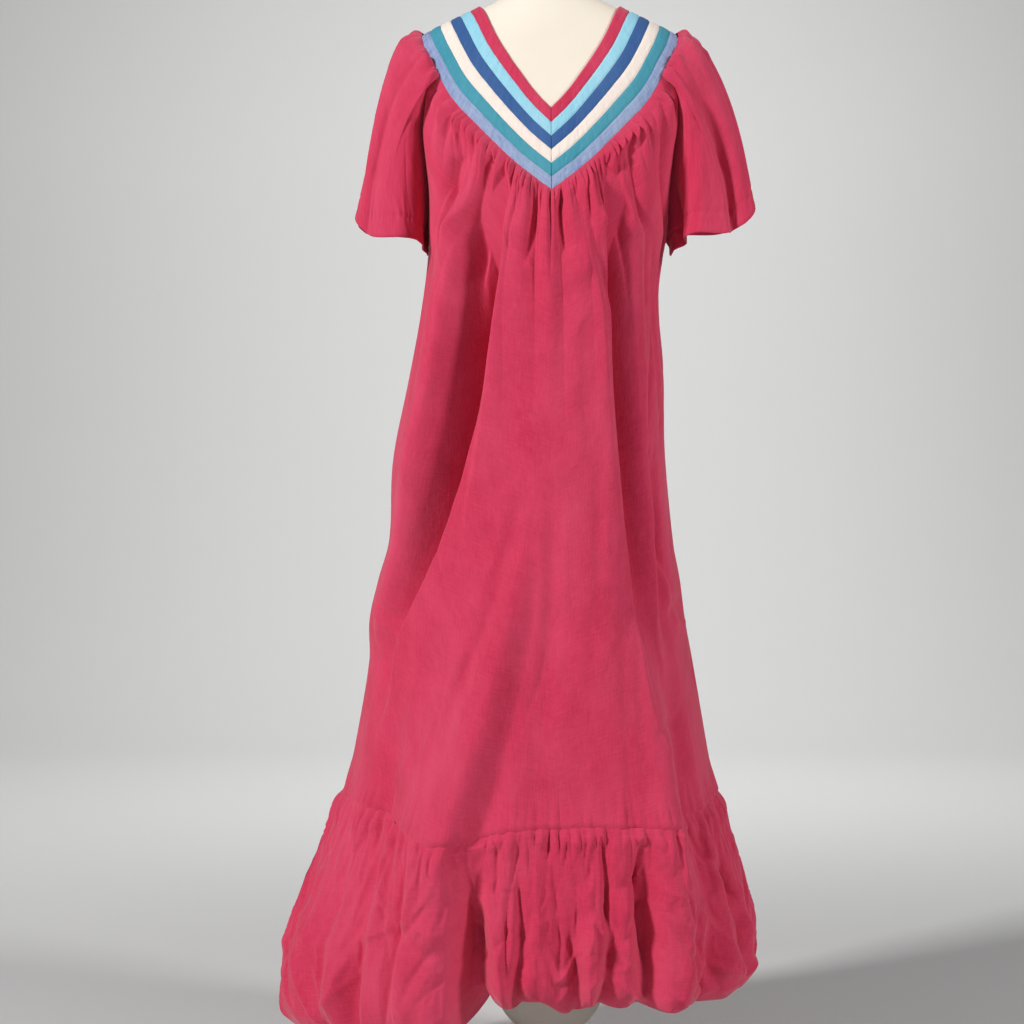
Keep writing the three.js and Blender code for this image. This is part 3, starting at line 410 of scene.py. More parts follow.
def fold_depth(folds, deg, z):
    total = np.zeros(np.broadcast(deg, z).shape)
    for fold in folds:
        share = (fold["top"] - z) / (fold["top"] - fold["foot"])
        along = np.clip(share, 0, 1)
        away = deg - three_point(fold["deg"], along)
        reach = np.where(away < 0, fold["left"], fold["right"])
        inside = np.clip(np.abs(away) / reach, 0, 1)
        fade = smooth_step(share / 0.15) * (1 - smooth_step((share - 1) / 0.2))
        total += three_point(fold["depth"], along) * np.cos(np.pi / 2 * inside) ** 2 * fade
    return total


def drift(x, seed):
    """Smooth wandering between -1 and 1, one bend for each whole number."""
    table = np.random.default_rng(seed).uniform(-1, 1, 256)
    i = np.floor(x).astype(int)
    return mix(table[i % 256], table[(i + 1) % 256], smooth_step(x - i))


def drift_area(x, y, seed):
    table = np.random.default_rng(seed).uniform(-1, 1, (128, 128))
    i = np.floor(x).astype(int)
    j = np.floor(y).astype(int)
    s = smooth_step(x - i)
    t = smooth_step(y - j)
    low = mix(table[i % 128, j % 128], table[(i + 1) % 128, j % 128], s)
    high = mix(table[i % 128, (j + 1) % 128], table[(i + 1) % 128, (j + 1) % 128], s)
    return mix(low, high, t)


def gather_height(sizes, count, place, drop, seed):
    """Folds that spring from a gathered seam. place runs from 0 to 1 along it."""
    total = np.zeros(np.broadcast(place, drop).shape)
    ends = smooth_step(place * 12) * smooth_step((1 - place) * 12)
    for number, size in enumerate(sizes):
        waves = max(2, round(count * size["count"]))
        own = seed + 10 * number
        run = place * waves
        bend = SWAY["across"] * drift(run * 0.8, own)
        bend = bend + SWAY["down"] * drift(run * 0.3 + drop / SWAY["fall"], own + 1)
        phase = run + bend * ends
        phase = phase + SWAY["uneven"] * np.sin(2 * np.pi * phase) * drift(run * 0.5, own + 3)
        cell = np.floor(phase).astype(int)
        rng = np.random.default_rng(own + 2)
        strength = rng.uniform(0.35, 1.0, 256)[cell % 256]
        reach = size["peak"] + (size["reach"] - size["peak"]) * rng.uniform(0.4, 1.15, 256)[cell % 256]
        rise = mix(size["start"], size["height"], smooth_step(drop / size["peak"]))
        fall = 1 - smooth_step((drop - size["peak"]) / (reach - size["peak"]))
        total += rise * fall * strength * np.abs(np.sin(np.pi * phase)) ** size["edge"]
    return total


def creases(across, down, seed, count, area, slant, length, width, depth):
    """Sharp creases at seeded places. area is (low, high) across and down, the rest are ranges."""
    rng = np.random.default_rng(seed)
    total = np.zeros(across.shape)
    (low_across, high_across), (low_down, high_down) = area
    for _ in range(count):
        x0 = rng.uniform(low_across, high_across)
        y0 = rng.uniform(low_down, high_down)
        turn = math.radians(rng.uniform(*slant))
        half = rng.uniform(*length)
        soft = rng.uniform(*width)
        high = rng.uniform(*depth) * rng.choice([-1, 1])
        bow = rng.uniform(-0.12, 0.12) / half
        along = (across - x0) * math.sin(turn) + (down - y0) * math.cos(turn)
        aside = (across - x0) * math.cos(turn) - (down - y0) * math.sin(turn) + bow * along**2
        near = (np.abs(along) < half) & (np.abs(aside) < 6 * soft)
        fade = (1 - (along[near] / half) ** 2) ** 2
        blunt = BLUNT * soft
        total[near] += high * fade * np.exp(-(np.hypot(aside[near], blunt) - blunt) / soft)
    return total


def drawn_creases(across, down, table, place):
    """Creases and ridges from start to end point, each with one steep and one soft side."""
    total = np.zeros(across.shape)
    for number, (start_at, start_down, end_at, end_down, depth, width) in enumerate(table):
        x0, y0 = place(start_at, start_down)
        x1, y1 = place(end_at, end_down)
        length = math.hypot(x1 - x0, y1 - y0)
        step_x = (x1 - x0) / length
        step_y = (y1 - y0) / length
        lean = 1 if number % 2 else -1
        along = ((across - x0) * step_x + (down - y0) * step_y) / length
        aside = (across - x0) * step_y - (down - y0) * step_x
        aside = aside + lean * 0.05 * length * np.sin(np.pi * np.clip(along, 0, 1))
        reach = smooth_step((along + 0.12) / 0.3) * smooth_step((1.12 - along) / 0.3)
        soft = np.where(aside * lean > 0, SOFT_SIDE, 1.0) * width
        blunt = BLUNT * width
        total += depth * reach * np.exp(-(np.hypot(aside, blunt) - blunt) / soft)
    return total


def ridged(across, down, size, slant, seed):
    """A net of soft creases: sharp lines where a smooth field crosses 0, slanted by some degrees."""
    turn = math.radians(slant)
    u = (across * math.cos(turn) + down * math.sin(turn)) / size[0]
    v = (down * math.cos(turn) - across * math.sin(turn)) / size[1]
    field = drift_area(u + 0.4 * drift_area(u * 1.7, v * 1.7, seed + 50), v, seed)
    return 0.45 - np.hypot(field, 0.05)


def body_radius(deg, z):
    at = wrap_deg(deg)
    front = fold_depth(FRONT_FOLDS, at, z)
    back = fold_depth(BACK_FOLDS, np.where(at < 0, at + 360, at), z)
    return dress_radius(at, z) + np.where(np.abs(at) <= SIDE_SEAM_DEG, front, back)


def panel_place(is_front, across):
    """Place along the yoke where a panel's column is sewn on."""
    if is_front:
        return across * FRONT_ARMHOLE_AT
    return -np.where(across < 0, -1, 1) * mix(1, BACK_ARMHOLE_AT, np.abs(across))


def panel_top(is_front, across):
    top = yoke_point(panel_place(is_front, across), 1)
    top[..., 2] -= SEAM_GAP
    return top


def panel_points(is_front, across, drop, relief=None):
    """Points of the front or back, and the way out of the dress there."""
    own_side = 0 if is_front else 180
    top = panel_top(is_front, across)
    top_deg = wrap_deg(bearing(top) - own_side)
    z = top[..., 2] - drop
    edge_deg = across * (front_edge_deg(z) if is_front else 180 - back_edge_deg(z))
    settled = np.maximum(smooth_step(drop / SETTLED_DROP), np.abs(across) ** 6 * smooth_step(drop / 7))
    deg = own_side + mix(top_deg, edge_deg, settled)
    hung = on_bearing(deg, body_radius(deg, z), z)
    loose = on_bearing(own_side + top_deg, body_radius(own_side + top_deg, top[..., 2]), top[..., 2])
    held = (1 - smooth_step(drop / HELD_DROP))[..., None]
    hung[..., :2] += (top[..., :2] - loose[..., :2]) * held
    if relief is not None:
        hung += on_bearing(deg, 1, 0) * relief[..., None]
    return clear_of_form(hung)


def panel_height(is_front, across):
    foot = wrap_deg((0 if is_front else 180) + across * SIDE_SEAM_DEG)
    return panel_top(is_front, across)[..., 2] - ruffle_seam_z(foot)


def body_place(across, drop):
    """Millimetres of cloth to the side and down."""
    return across * mix(*PANEL_CLOTH, smooth_step(drop / 760)), drop


def ruffle_place(deg, along):
    return deg / SIDE_SEAM_DEG * mix(*RUFFLE_CLOTH, along), along * RUFFLE_FALL


def panel_grid(is_front):
    columns, rows = GRID["front_body" if is_front else "back_body"]
    across = np.linspace(-1, 1, columns + 1)
    share = np.linspace(0, 1, rows + 1)
    share = mix(share, share**2, ROW_EASE)[:, None]
    drop = share * panel_height(is_front, across)[None, :]
    across = np.broadcast_to(across, drop.shape)
    count = GATHERS["front" if is_front else "back"]
    seed = 100 if is_front else 200
    place = (across + 1) / 2
    relief = gather_height(YOKE_GATHERS, count, place, drop, seed)
    outer = smooth_step((np.abs(across) - 0.15) / 0.3) * smooth_step((0.97 - np.abs(across)) / 0.12)
    relief += OUTER_GATHERS * outer * gather_height(YOKE_GATHERS[:1], count, place, drop, seed)
    relief -= SEAM_DIP["yoke"] * (1 - smooth_step(drop / 2.5))
    side = smooth_step((1 - np.abs(across)) * 14)
    wide, _ = body_place(across, drop)
    for number, row in enumerate(WANDER):
        relief += side * row["height"] * drift_area(wide / row["wide"], drop / row["long"], seed + 3 + number)
    low = creases(wide, drop, seed + 5, *LOW_CREASES)
    high = creases(wide, drop, seed + 6, *HIGH_CREASES)
    foot_drop = drop[-1][None, :] - drop
    pucker = gather_height(RUFFLE_GATHERS[:1], GATHERS["foot"], place, foot_drop, seed + 200)
    ridge = bell(foot_drop, 6, 4.5) * 1.8 - SEAM_DIP["foot"] * (1 - smooth_step(foot_drop / 2.5))
    if is_front:
        relief += drawn_creases(wide, drop, BODY_CREASES, body_place)
    relief += side * (low + high) + FOOT_PUCKER * pucker + ridge * side
    points = panel_points(is_front, across, drop, relief)
    smooth_row = panel_points(is_front, across, drop)[..., :2]
    steps = np.linalg.norm(np.diff(smooth_row, axis=1), axis=-1)
    along_row = np.concatenate([np.zeros((rows + 1, 1)), np.cumsum(steps, axis=1)], axis=1)
    along_row -= along_row[:, columns // 2][:, None]
    edge = np.abs(across) == 1
    below = points[..., 2] < UNDERARM_Z + 1
    points[..., 1] = np.where(edge & below, 0, points[..., 1])
    seam_place = panel_place(is_front, across[0])
    tuck = [lift_from_form(yoke_point(seam_place, share), lift) for share, lift in YOKE_TUCK]
    points = np.concatenate([np.stack(tuck), points])
    drop = np.concatenate([np.array([[-5.0], [-2.0]]) + 0 * drop[:2], drop])
    along_row = np.concatenate([along_row[:1], along_row[:1], along_row])
    return points, np.stack([along_row, drop], -1)


def ruffle_grid(is_front):
    columns, rows = GRID["ruffle_front" if is_front else "ruffle_back"]
    across = np.linspace(-1, 1, columns + 1)[None, :]
    along = np.linspace(0, 1, rows + 1)[:, None]
    deg = (0 if is_front else 180) + across * SIDE_SEAM_DEG
    at = wrap_deg(deg)
    seam_z = ruffle_seam_z(at)
    root = body_radius(deg, seam_z)
    drop = ruffle_section["drop"](along)
    flare = ruffle_spread["flare"](at) * ruffle_section["out"](along) - TUCK * ruffle_section["tuck"](along)
    valley = np.zeros(np.broadcast(at, along).shape)
    for number, row in enumerate(RUFFLE_VALLEYS):
        centre = row["deg"] + row["lean"] * along + 1.2 * drift(along * 4, 700 + number)
        away = wrap_deg(deg - centre)
        away = np.clip(np.abs(away) / np.where(away < 0, row["left"], row["right"]), 0, 1)
        valley += row["depth"] * (0.5 * (1 - away) ** 1.5 + 0.5 * np.cos(np.pi / 2 * away) ** 2)
    opened = smooth_step(drop / 0.55)
    z = mix(seam_z - SEAM_GAP, ruffle_spread["hem"](at) + valley * 0.12, drop)
    place = np.broadcast_to((across + 1) / 2, valley.shape)
    wide, fall = ruffle_place(across * SIDE_SEAM_DEG, along)
    fall = np.broadcast_to(fall, valley.shape)
    seed = 300 if is_front else 400
    count = GATHERS["ruffle_front" if is_front else "ruffle_back"]
    gathers = gather_height(RUFFLE_GATHERS, count, place, fall, seed)
    side = smooth_step((1 - np.abs(across)) * 20)
    crumple = creases(wide, fall, seed + 5, RUFFLE_CRUMPLE_COUNT[is_front], *RUFFLE_CRUMPLES)
    for number, row in enumerate(NETS):
        net = row["height"] * RIDGED * ridged(wide, fall, row["size"], row["slant"], seed + 6 + number)
        crumple += net * smooth_step((fall - row["start"]) / row["reach"])
    dip = SEAM_DIP["ruffle"] * (1 - smooth_step(fall / 3))
    relief = gathers + side * crumple * smooth_step(fall / 60) - dip
    if is_front:
        relief += drawn_creases(wide, fall, RUFFLE_CREASES, ruffle_place) * smooth_step(fall / 12)
    z = z + 4 * (1 - smooth_step(fall / 5))
    return on_bearing(deg, root + flare - valley * opened + relief, z), np.stack([wide, fall], -1)


def armhole_seam(is_front, side, steps=60):
    across = np.full(steps + 1, float(side if is_front else -side))
    height = panel_top(is_front, across[:1])[0, 2] - UNDERARM_Z
    return panel_points(is_front, across, np.linspace(0, height, steps + 1))


def along_path(points, share):
    lengths = np.linalg.norm(np.diff(points, axis=0), axis=1)
    at = np.concatenate([[0], np.cumsum(lengths)]) / lengths.sum()
    return np.stack([np.interp(share, at, points[:, axis]) for axis in range(3)], -1)


def sleeve_top(side, turn):
    front = along_path(armhole_seam(True, side), np.clip(1 - turn / SLEEVE_FRONT_SHARE, 0, 1))
    back_share = (turn - SLEEVE_BACK_SHARE) / (1 - SLEEVE_BACK_SHARE)
    back = along_path(armhole_seam(False, side), np.clip(back_share, 0, 1))
    share = np.clip((turn - SLEEVE_FRONT_SHARE) / (SLEEVE_BACK_SHARE - SLEEVE_FRONT_SHARE), 0, 1)
    yoke = yoke_point(side * mix(FRONT_ARMHOLE_AT, BACK_ARMHOLE_AT, share), 1)
    points = np.where((turn <= SLEEVE_FRONT_SHARE)[..., None], front, yoke)
    return np.where((turn >= SLEEVE_BACK_SHARE)[..., None], back, points)


def squared(value):
    """Turns the ring of a circle into one with squarer corners."""
    return np.sign(value) * np.abs(value) ** SLEEVE_SQUARE


def sleeve_grid(sleeve):
    columns, rows = GRID["sleeve"]
    side = sleeve["side"]
    turn = np.linspace(0, 1, columns + 1)[:-1]
    if side < 0:
        turn = turn[::-1]
    down = np.linspace(0, 1, rows + 1)[:, None]
    down = mix(down, down**1.6, 0.5)
    angle = 2 * np.pi * turn
    zero = np.zeros_like(turn)
    out = np.stack([-side * np.cos(angle), -np.sin(angle), zero], -1)
    inward = (1 + np.cos(angle)) / 2
    side_share = np.abs(np.sin(angle)) ** 1.5
    facing = np.where(np.sin(angle) > 0, sleeve["front"], sleeve["back"])
    hem_x = side * (sleeve["centreX"] - sleeve["halfX"] * squared(np.cos(angle)))
    hem_y = -sleeve["halfY"] * squared(np.sin(angle))
    hem_z = mix(mix(sleeve["outer"], sleeve["inner"], inward), facing, side_share)
    hem = np.stack([hem_x, hem_y, hem_z], -1)
    over_share = (turn - SLEEVE_FRONT_SHARE * 0.5) / (1 - SLEEVE_FRONT_SHARE * 0.8)
    over = np.sin(np.pi * np.clip(over_share, 0, 1))[:, None]
    root = sleeve_top(side, turn)
    reach = np.linalg.norm(root - hem, axis=-1)[:, None]
    below = np.stack([np.full_like(turn, side * 0.5), -np.sin(angle) * 0.65, np.full_like(turn, -0.6)], -1)
    above = np.stack(
        [side * np.maximum(0.35, -np.cos(angle)), -np.sin(angle) * 0.6, np.full_like(turn, -0.1)], -1
    )
    start = unit(mix(below, above, over))
    root = root - start * SLEEVE_UNDERLAP
    upper = root + start * mix(reach * SLEEVE_FLOW["under"], sleeve["puff"], over)
    rise = np.stack([zero, zero, reach[:, 0] * SLEEVE_FLOW["rise"]], -1)
    lower = hem - out * reach * SLEEVE_FLOW["inward"] * over + rise
    t = down[..., None]
    points = (1 - t) ** 3 * root + 3 * (1 - t) ** 2 * t * upper + 3 * (1 - t) * t**2 * lower + t**3 * hem
    fold = np.zeros((rows + 1, columns))
    for row in SLEEVE_FOLDS[side]:
        away = np.clip(np.abs(turn - row["at"]) / row["half"], 0, 1)
        fold += row["depth"] * (np.cos(np.pi / 2 * away) ** 2)[None, :] * smooth_step(down / 0.8)
    fall = down * reach[:, 0][None, :]
    around = np.broadcast_to(turn * SLEEVE_ROUND, fall.shape)
    ends = smooth_step(turn * 14) * smooth_step((1 - turn) * 14)
    seed = 500 if side < 0 else 600
    fold += ends * 1.3 * drift_area(around / 30, fall / 60, seed + 3)
    fold += ends * creases(around, fall, seed + 4, *SLEEVE_CREASES)
    points += out[None] * fold[..., None]
    wave = np.clip((turn - SLEEVE_FRONT_SHARE) / (SLEEVE_BACK_SHARE - SLEEVE_FRONT_SHARE), 0, 1)
    lift = gather_height(YOKE_GATHERS, GATHERS["sleeve"], np.broadcast_to(wave, fall.shape), fall, seed)
    inside = (wave > 0) & (wave < 1)
    lift = lift * inside * 1.1
    points += out[None] * (0.6 * lift)[..., None]
    points[..., 2] += 0.8 * lift
    to_hem = reach[:, 0][None, :] - fall
    normals = grid_normals(points, ring=True)
    pucker = HEM_RELIEF["pucker"] * np.sin(around / HEM_RELIEF["stitch"]) * bell(to_hem, SLEEVE_HEM, 5)
    groove = -HEM_RELIEF["groove"] * bell(to_hem, SLEEVE_HEM, 1.8)
    roll = HEM_RELIEF["roll"] * bell(to_hem, 2, 3.5)
    points += normals * ((groove + roll + pucker) * smooth_step(fall / 12))[..., None]
    return turn_up(points, SLEEVE_HEM), around, fall


def grid_normals(points, ring=False):
    """Outward normals of a grid whose rows run down and whose columns run to the viewer's right."""
    if ring:
        right = np.roll(points, -1, axis=1) - np.roll(points, 1, axis=1)
    else:
        right = np.gradient(points, axis=1)
    down = np.gradient(points, axis=0)
    normals = np.cross(down, right)
    return normals / np.maximum(np.linalg.norm(normals, axis=-1, keepdims=True), 1e-9)


def turn_up(points, width):
    """Folds the last stretch of a ring-shaped grid inside, as a hem."""
    normals = grid_normals(points, ring=True)[-1]
    down = unit(points[-1] - points[-3])
    path = [(0.7, 0.5), (0.9, 1.1), (0.6, 1.7), (-0.6, 2.1), (-width * 0.5, 2.2), (-width, 2.0)]
    extra = [points[-1] + down * along - normals * inward for along, inward in path]
    return np.concatenate([points, np.stack(extra)])


def band_grid(number, count):
    """One strip of the yoke: a crowned strip whose edges turn down into the seams."""
    columns, rows = GRID["band"]
    round_neck = np.linspace(0, 2, columns + 1)
    place = np.where(round_neck <= 1, round_neck, round_neck - 2)
    across = np.linspace(0, 1, rows + 1)
    share = (number + across) / count
    points = yoke_point(place[None, :], share[:, None])
    distance = np.abs(place) * YOKE_LENGTH
    from_mitre = np.minimum(round_neck, 2 - round_neck) * YOKE_LENGTH
    edge = np.minimum(across, 1 - across)[:, None]
    crown = CROWN["height"] * smooth_step(edge / CROWN["edge"]) - CROWN["sink"]
    tip = -CROWN["mitre"] * (1 - smooth_step(from_mitre / CROWN["mitre_width"]))[None, :]
    distance = np.broadcast_to(distance, (rows + 1, columns + 1))
    pucker = drift_area(distance / BAND_PUCKER["long"], across[:, None] * 2.5, 800 + number)
    pucker = BAND_PUCKER["height"] * pucker
    if number == 0:
        crown = crown + CROWN["rim"] * bell(across[:, None], 0, 0.25)
    normals = grid_normals(points)
    points = points + normals * (crown + tip + pucker)[..., None]
    wide = np.broadcast_to(round_neck * YOKE_LENGTH, points.shape[:2])
    down = np.broadcast_to(across[:, None] * BAND_WIDTH, points.shape[:2])
    if number == 0:
        roll = np.stack([points[0] - normals[0] * 2.4, points[0] - normals[0] * 0.9])
        roll[1] += (points[0] - points[1]) * 0.5
        points = np.concatenate([roll, points])
        wide = np.concatenate([wide[:2], wide])
        down = np.concatenate([down[:2] - np.array([[4.0], [2.0]]), down])
    points[:, 0, 0] = 0
    points[:, -1, 0] = 0
    return points, np.stack([wide, down], -1)


# The ruffle's simulation: spare cloth, hold on each point, gravity's share, grid step, frames
SPARE = 0.03
HELD = 0.06
GRAVITY_SHARE = 0.15
SETTLE_STEP = 2
SETTLE_FRAMES = 18
STIFFNESS = 8.0
BEND_STIFFNESS = 0.2


def cubic_steps(coarse, fine_count):
    """Row-wise cubic interpolation of an array to fine_count places along its first axis."""
    count = len(coarse)
    at = np.arange(fine_count) * ((count - 1) / (fine_count - 1))
    i = np.floor(at).astype(int)
    t = (at - i).reshape(-1, *[1] * (coarse.ndim - 1))

    def row(offset):
        return coarse[np.clip(i + offset, 0, count - 1)]

    before, here, after, beyond = row(-1), row(0), row(1), row(2)
    bend = 2 * before - 5 * here + 4 * after - beyond
    return here + 0.5 * t * (after - before + t * (bend + t * (3 * (here - after) + beyond - before)))


def add_object(name, data):
    thing = bpy.data.objects.new(name, data)
    scene.collection.objects.link(thing)
    return thing


def grid_faces(rows, columns, ring=False):
    """Point numbers of a grid and its faces, which look outward."""
    index = np.arange(rows * columns).reshape(rows, columns)
    right = np.roll(index, -1, axis=1) if ring else index[:, 1:]
    left = index if ring else index[:, :-1]
    return index, np.stack([left[:-1], left[1:], right[1:], right[:-1]], -1).reshape(-1, 4).tolist()


def settle(points, held):
    """Lets a sheet with spare cloth buckle. held is how firmly each point keeps its place."""
    coarse = points[::SETTLE_STEP, ::SETTLE_STEP]
    rows, columns = coarse.shape[:2]
    mesh = bpy.data.meshes.new("settling")
    mesh.from_pydata((coarse.reshape(-1, 3) * MM).tolist(), [], grid_faces(rows, columns)[1])
    cloth = add_object("settling", mesh)
    group = cloth.vertex_groups.new(name="held")
    levels = np.round(held[::SETTLE_STEP, ::SETTLE_STEP].ravel(), 2)
    for level in np.unique(levels):
        group.add(np.flatnonzero(levels == level).tolist(), float(level), "REPLACE")
    modifier = cloth.modifiers.new("cloth", "CLOTH")
    modifier.point_cache.frame_start = 1
    modifier.point_cache.frame_end = SETTLE_FRAMES
    settings = modifier.settings
    settings.quality = 5
    settings.mass = 0.2
    settings.tension_stiffness = STIFFNESS
    settings.compression_stiffness = STIFFNESS
    settings.shear_stiffness = STIFFNESS * 0.4
    settings.bending_stiffness = BEND_STIFFNESS
    settings.shrink_min = -SPARE
    settings.vertex_group_mass = "held"
    settings.pin_stiffness = STIFFNESS
    settings.effector_weights.gravity = GRAVITY_SHARE
    modifier.collision_settings.use_collision = False
    for frame_number in range(1, SETTLE_FRAMES + 1):
        scene.frame_set(frame_number)
    shaped = cloth.evaluated_get(bpy.context.evaluated_depsgraph_get())
    moved = np.zeros(rows * columns * 3)
    shaped.data.vertices.foreach_get("co", moved)
    shift = moved.reshape(rows, columns, 3) / MM - coarse
    bpy.data.objects.remove(cloth)
    bpy.data.meshes.remove(mesh)
    scene.frame_set(1)
    down = cubic_steps(shift, points.shape[0])
    across = cubic_steps(down.transpose(1, 0, 2), points.shape[1])
    return points + across.transpose(1, 0, 2)


def add_mesh(name, points, uv, ring=False, close_top=False, close_foot=False):
    index, faces = grid_faces(*points.shape[:2], ring)
    if close_top:
        faces.append(index[0][::-1].tolist())
    if close_foot:
        faces.append(index[-1].tolist())
    mesh = bpy.data.meshes.new(name)
    mesh.from_pydata((points.reshape(-1, 3) * MM).tolist(), [], faces)
    layer = mesh.uv_layers.new(name="cloth")
    corners = np.zeros(len(mesh.loops), int)
    mesh.loops.foreach_get("vertex_index", corners)
    layer.data.foreach_set("uv", (uv.reshape(-1, 2)[corners] * MM).ravel())
    mesh.polygons.foreach_set("use_smooth", [True] * len(mesh.polygons))
    mesh.update()
    return add_object(name, mesh)


def finish_piece(piece, node, material):
    piece.data.materials.append(material)
    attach(piece, "root")
    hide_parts(node)
    return piece


def new_material(name, **sockets):
    material = bpy.data.materials.new(name)
    material.use_nodes = True
    nodes = material.node_tree.nodes
    shader = nodes["Principled BSDF"]
    for socket, value in sockets.items():
        shader.inputs[socket.replace("_", " ")].default_value = value
    return material, nodes, material.node_tree.links, shader


def add_node(nodes, kind, **inputs):
    node = nodes.new(kind)
    for name, value in inputs.items():
        if name in node.inputs:
            node.inputs[name].default_value = value
        else:
            setattr(node, name, value)
    return node


def mix_colours(nodes, links, share, first, second):
    """Mixes two colours, of which the first may be another node's output."""
    node = add_node(nodes, "ShaderNodeMix", data_type="RGBA")
    if isinstance(first, tuple):
        node.inputs["A"].default_value = (*first, 1)
    else:
        links.new(first, node.inputs["A"])
    node.inputs["B"].default_value = (*second, 1)
    links.new(share, node.inputs["Factor"])
    return node.outputs["Result"]


# Scales of the cotton's noises: its threads, its darker mottle, its worn patches, its soft unevenness
THREADS, MOTTLE, WORN, CRUSHED = 500.0, 22.0, 5.0, 75.0


def cloth_material(name, colour, shade, faded, fleck=0.3, sheen=0.05):
    """Plain-woven cotton: shade colours its darker threads and mottle, faded its worn patches."""
    material, nodes, links, shader = new_material(
        name, Roughness=0.82, Sheen_Weight=sheen, Sheen_Roughness=0.5, Specular_IOR_Level=0.2
    )
    uv = add_node(nodes, "ShaderNodeTexCoord")

    def noise(scale, steps=(1, 1, 1), detail=3.0, rough=0.55):
        stretch = add_node(nodes, "ShaderNodeMapping")
        stretch.inputs["Scale"].default_value = steps
        links.new(uv.outputs["UV"], stretch.inputs["Vector"])
        texture = add_node(nodes, "ShaderNodeTexNoise", Scale=scale, Detail=detail, Roughness=rough)
        links.new(stretch.outputs["Vector"], texture.inputs["Vector"])
        return texture.outputs["Fac"]

    def math_node(operation, first_input, second_input):
        node = add_node(nodes, "ShaderNodeMath", operation=operation)
        for socket, value in zip(node.inputs, (first_input, second_input)):
            if isinstance(value, float):
                socket.default_value = value
            else:
                links.new(value, socket)
        return node.outputs[0]

    def spread(value, low, high):
        ramp = add_node(nodes, "ShaderNodeMapRange")
        ramp.inputs["From Min"].default_value = low
        ramp.inputs["From Max"].default_value = high
        links.new(value, ramp.inputs["Value"])
        return ramp.outputs["Result"]

    warp = noise(THREADS, (1.0, 0.12, 1.0))
    weft = noise(THREADS, (0.12, 1.0, 1.0))
    weave = math_node("ADD", warp, weft)
    slub = spread(weave, 0.72, 1.28)
    threads = math_node("MULTIPLY", slub, 0.25 + fleck)
    mottle = math_node("MULTIPLY", spread(noise(MOTTLE, detail=5.0, rough=0.65), 0.35, 0.7), 0.35)
    dark_share = math_node("ADD", threads, mottle)

    fresh = mix_colours(nodes, links, dark_share, colour, shade)
    patches = noise(WORN, (1.6, 0.7, 1.0), detail=6.0, rough=0.6)
    worn = math_node("MULTIPLY", spread(patches, 0.42, 0.72), 0.6)
    links.new(mix_colours(nodes, links, worn, fresh, faded), shader.inputs["Base Color"])

    soft = add_node(nodes, "ShaderNodeBump", Strength=0.3, Distance=0.003)
    links.new(noise(CRUSHED, (1.0, 0.6, 1.0), detail=5.0), soft.inputs["Height"])
    grain = add_node(nodes, "ShaderNodeBump", Strength=0.5, Distance=0.0008)
    links.new(weave, grain.inputs["Height"])
    links.new(soft.outputs["Normal"], grain.inputs["Normal"])
    links.new(grain.outputs["Normal"], shader.inputs["Normal"])
    return material


def smooth_material(name, colour, shade, scale, roughness, metallic=0.0, bump=0.15):
    """A painted, knitted or metal surface with soft patches of a second colour."""
    material, nodes, links, shader = new_material(name, Roughness=roughness, Metallic=metallic)
    place = add_node(nodes, "ShaderNodeTexCoord")
    patches = add_node(nodes, "ShaderNodeTexNoise", Scale=scale, Detail=5.0, Roughness=0.62)
    links.new(place.outputs["Object"], patches.inputs["Vector"])
    tint = mix_colours(nodes, links, patches.outputs["Fac"], colour, shade)
    links.new(tint, shader.inputs["Base Color"])
    grain = add_node(nodes, "ShaderNodeTexNoise", Scale=900.0, Detail=2.0)
    links.new(place.outputs["Object"], grain.inputs["Vector"])
    rough = add_node(nodes, "ShaderNodeBump", Strength=bump, Distance=0.0006)
    links.new(grain.outputs["Fac"], rough.inputs["Height"])
    links.new(rough.outputs["Normal"], shader.inputs["Normal"])
    return material


ROSE = cloth_material(
    "rose_cotton", (0.66, 0.038, 0.105), (0.48, 0.018, 0.06), (0.7, 0.075, 0.155), sheen=0.16
)
SKY = cloth_material("sky_cotton", (0.34, 0.68, 0.82), (0.24, 0.56, 0.72), (0.44, 0.74, 0.84))
NAVY = cloth_material("navy_cotton", (0.045, 0.125, 0.335), (0.03, 0.085, 0.25), (0.08, 0.17, 0.38))
CREAM = cloth_material("cream_cotton", (0.93, 0.84, 0.76), (0.82, 0.71, 0.62), (0.95, 0.76, 0.7))
TEAL = cloth_material("teal_cotton", (0.07, 0.33, 0.43), (0.04, 0.25, 0.34), (0.11, 0.38, 0.47))
CHAMBRAY = cloth_material(
    "periwinkle_chambray", (0.36, 0.45, 0.65), (0.19, 0.26, 0.46), (0.4, 0.48, 0.64), fleck=0.6
)
BANDS = rows_of("name slot cut material", [
    ("neckband_rose", "rose_cloth", (0.017, 0.74), ROSE),
    ("yoke_band_sky", "sky_cloth", (0.014, 0.814), SKY),
    ("yoke_band_navy", "navy_cloth", (0.014, 0.881), NAVY),
    ("yoke_band_cream", "cream_cloth", (0.014, 0.949), CREAM),
    ("yoke_band_teal", "teal_cloth", (0.014, 1.015), TEAL),
    ("yoke_band_periwinkle", "periwinkle_cloth", (0.014, 1.076), CHAMBRAY),
])

for number, band in enumerate(BANDS):
    points, uv = band_grid(number, len(BANDS))
    strip = add_mesh(band["name"] + "_cloth", points, uv)
    finish_piece(strip, band["name"], band["material"])

for is_front, name, flat in ((True, "front_body", (0.78, 0.97)), (False, "back_body", (0.74, 0.96))):
    points, uv = panel_grid(is_front)
    panel = finish_piece(add_mesh(name + "_cloth", points, uv), name, ROSE)

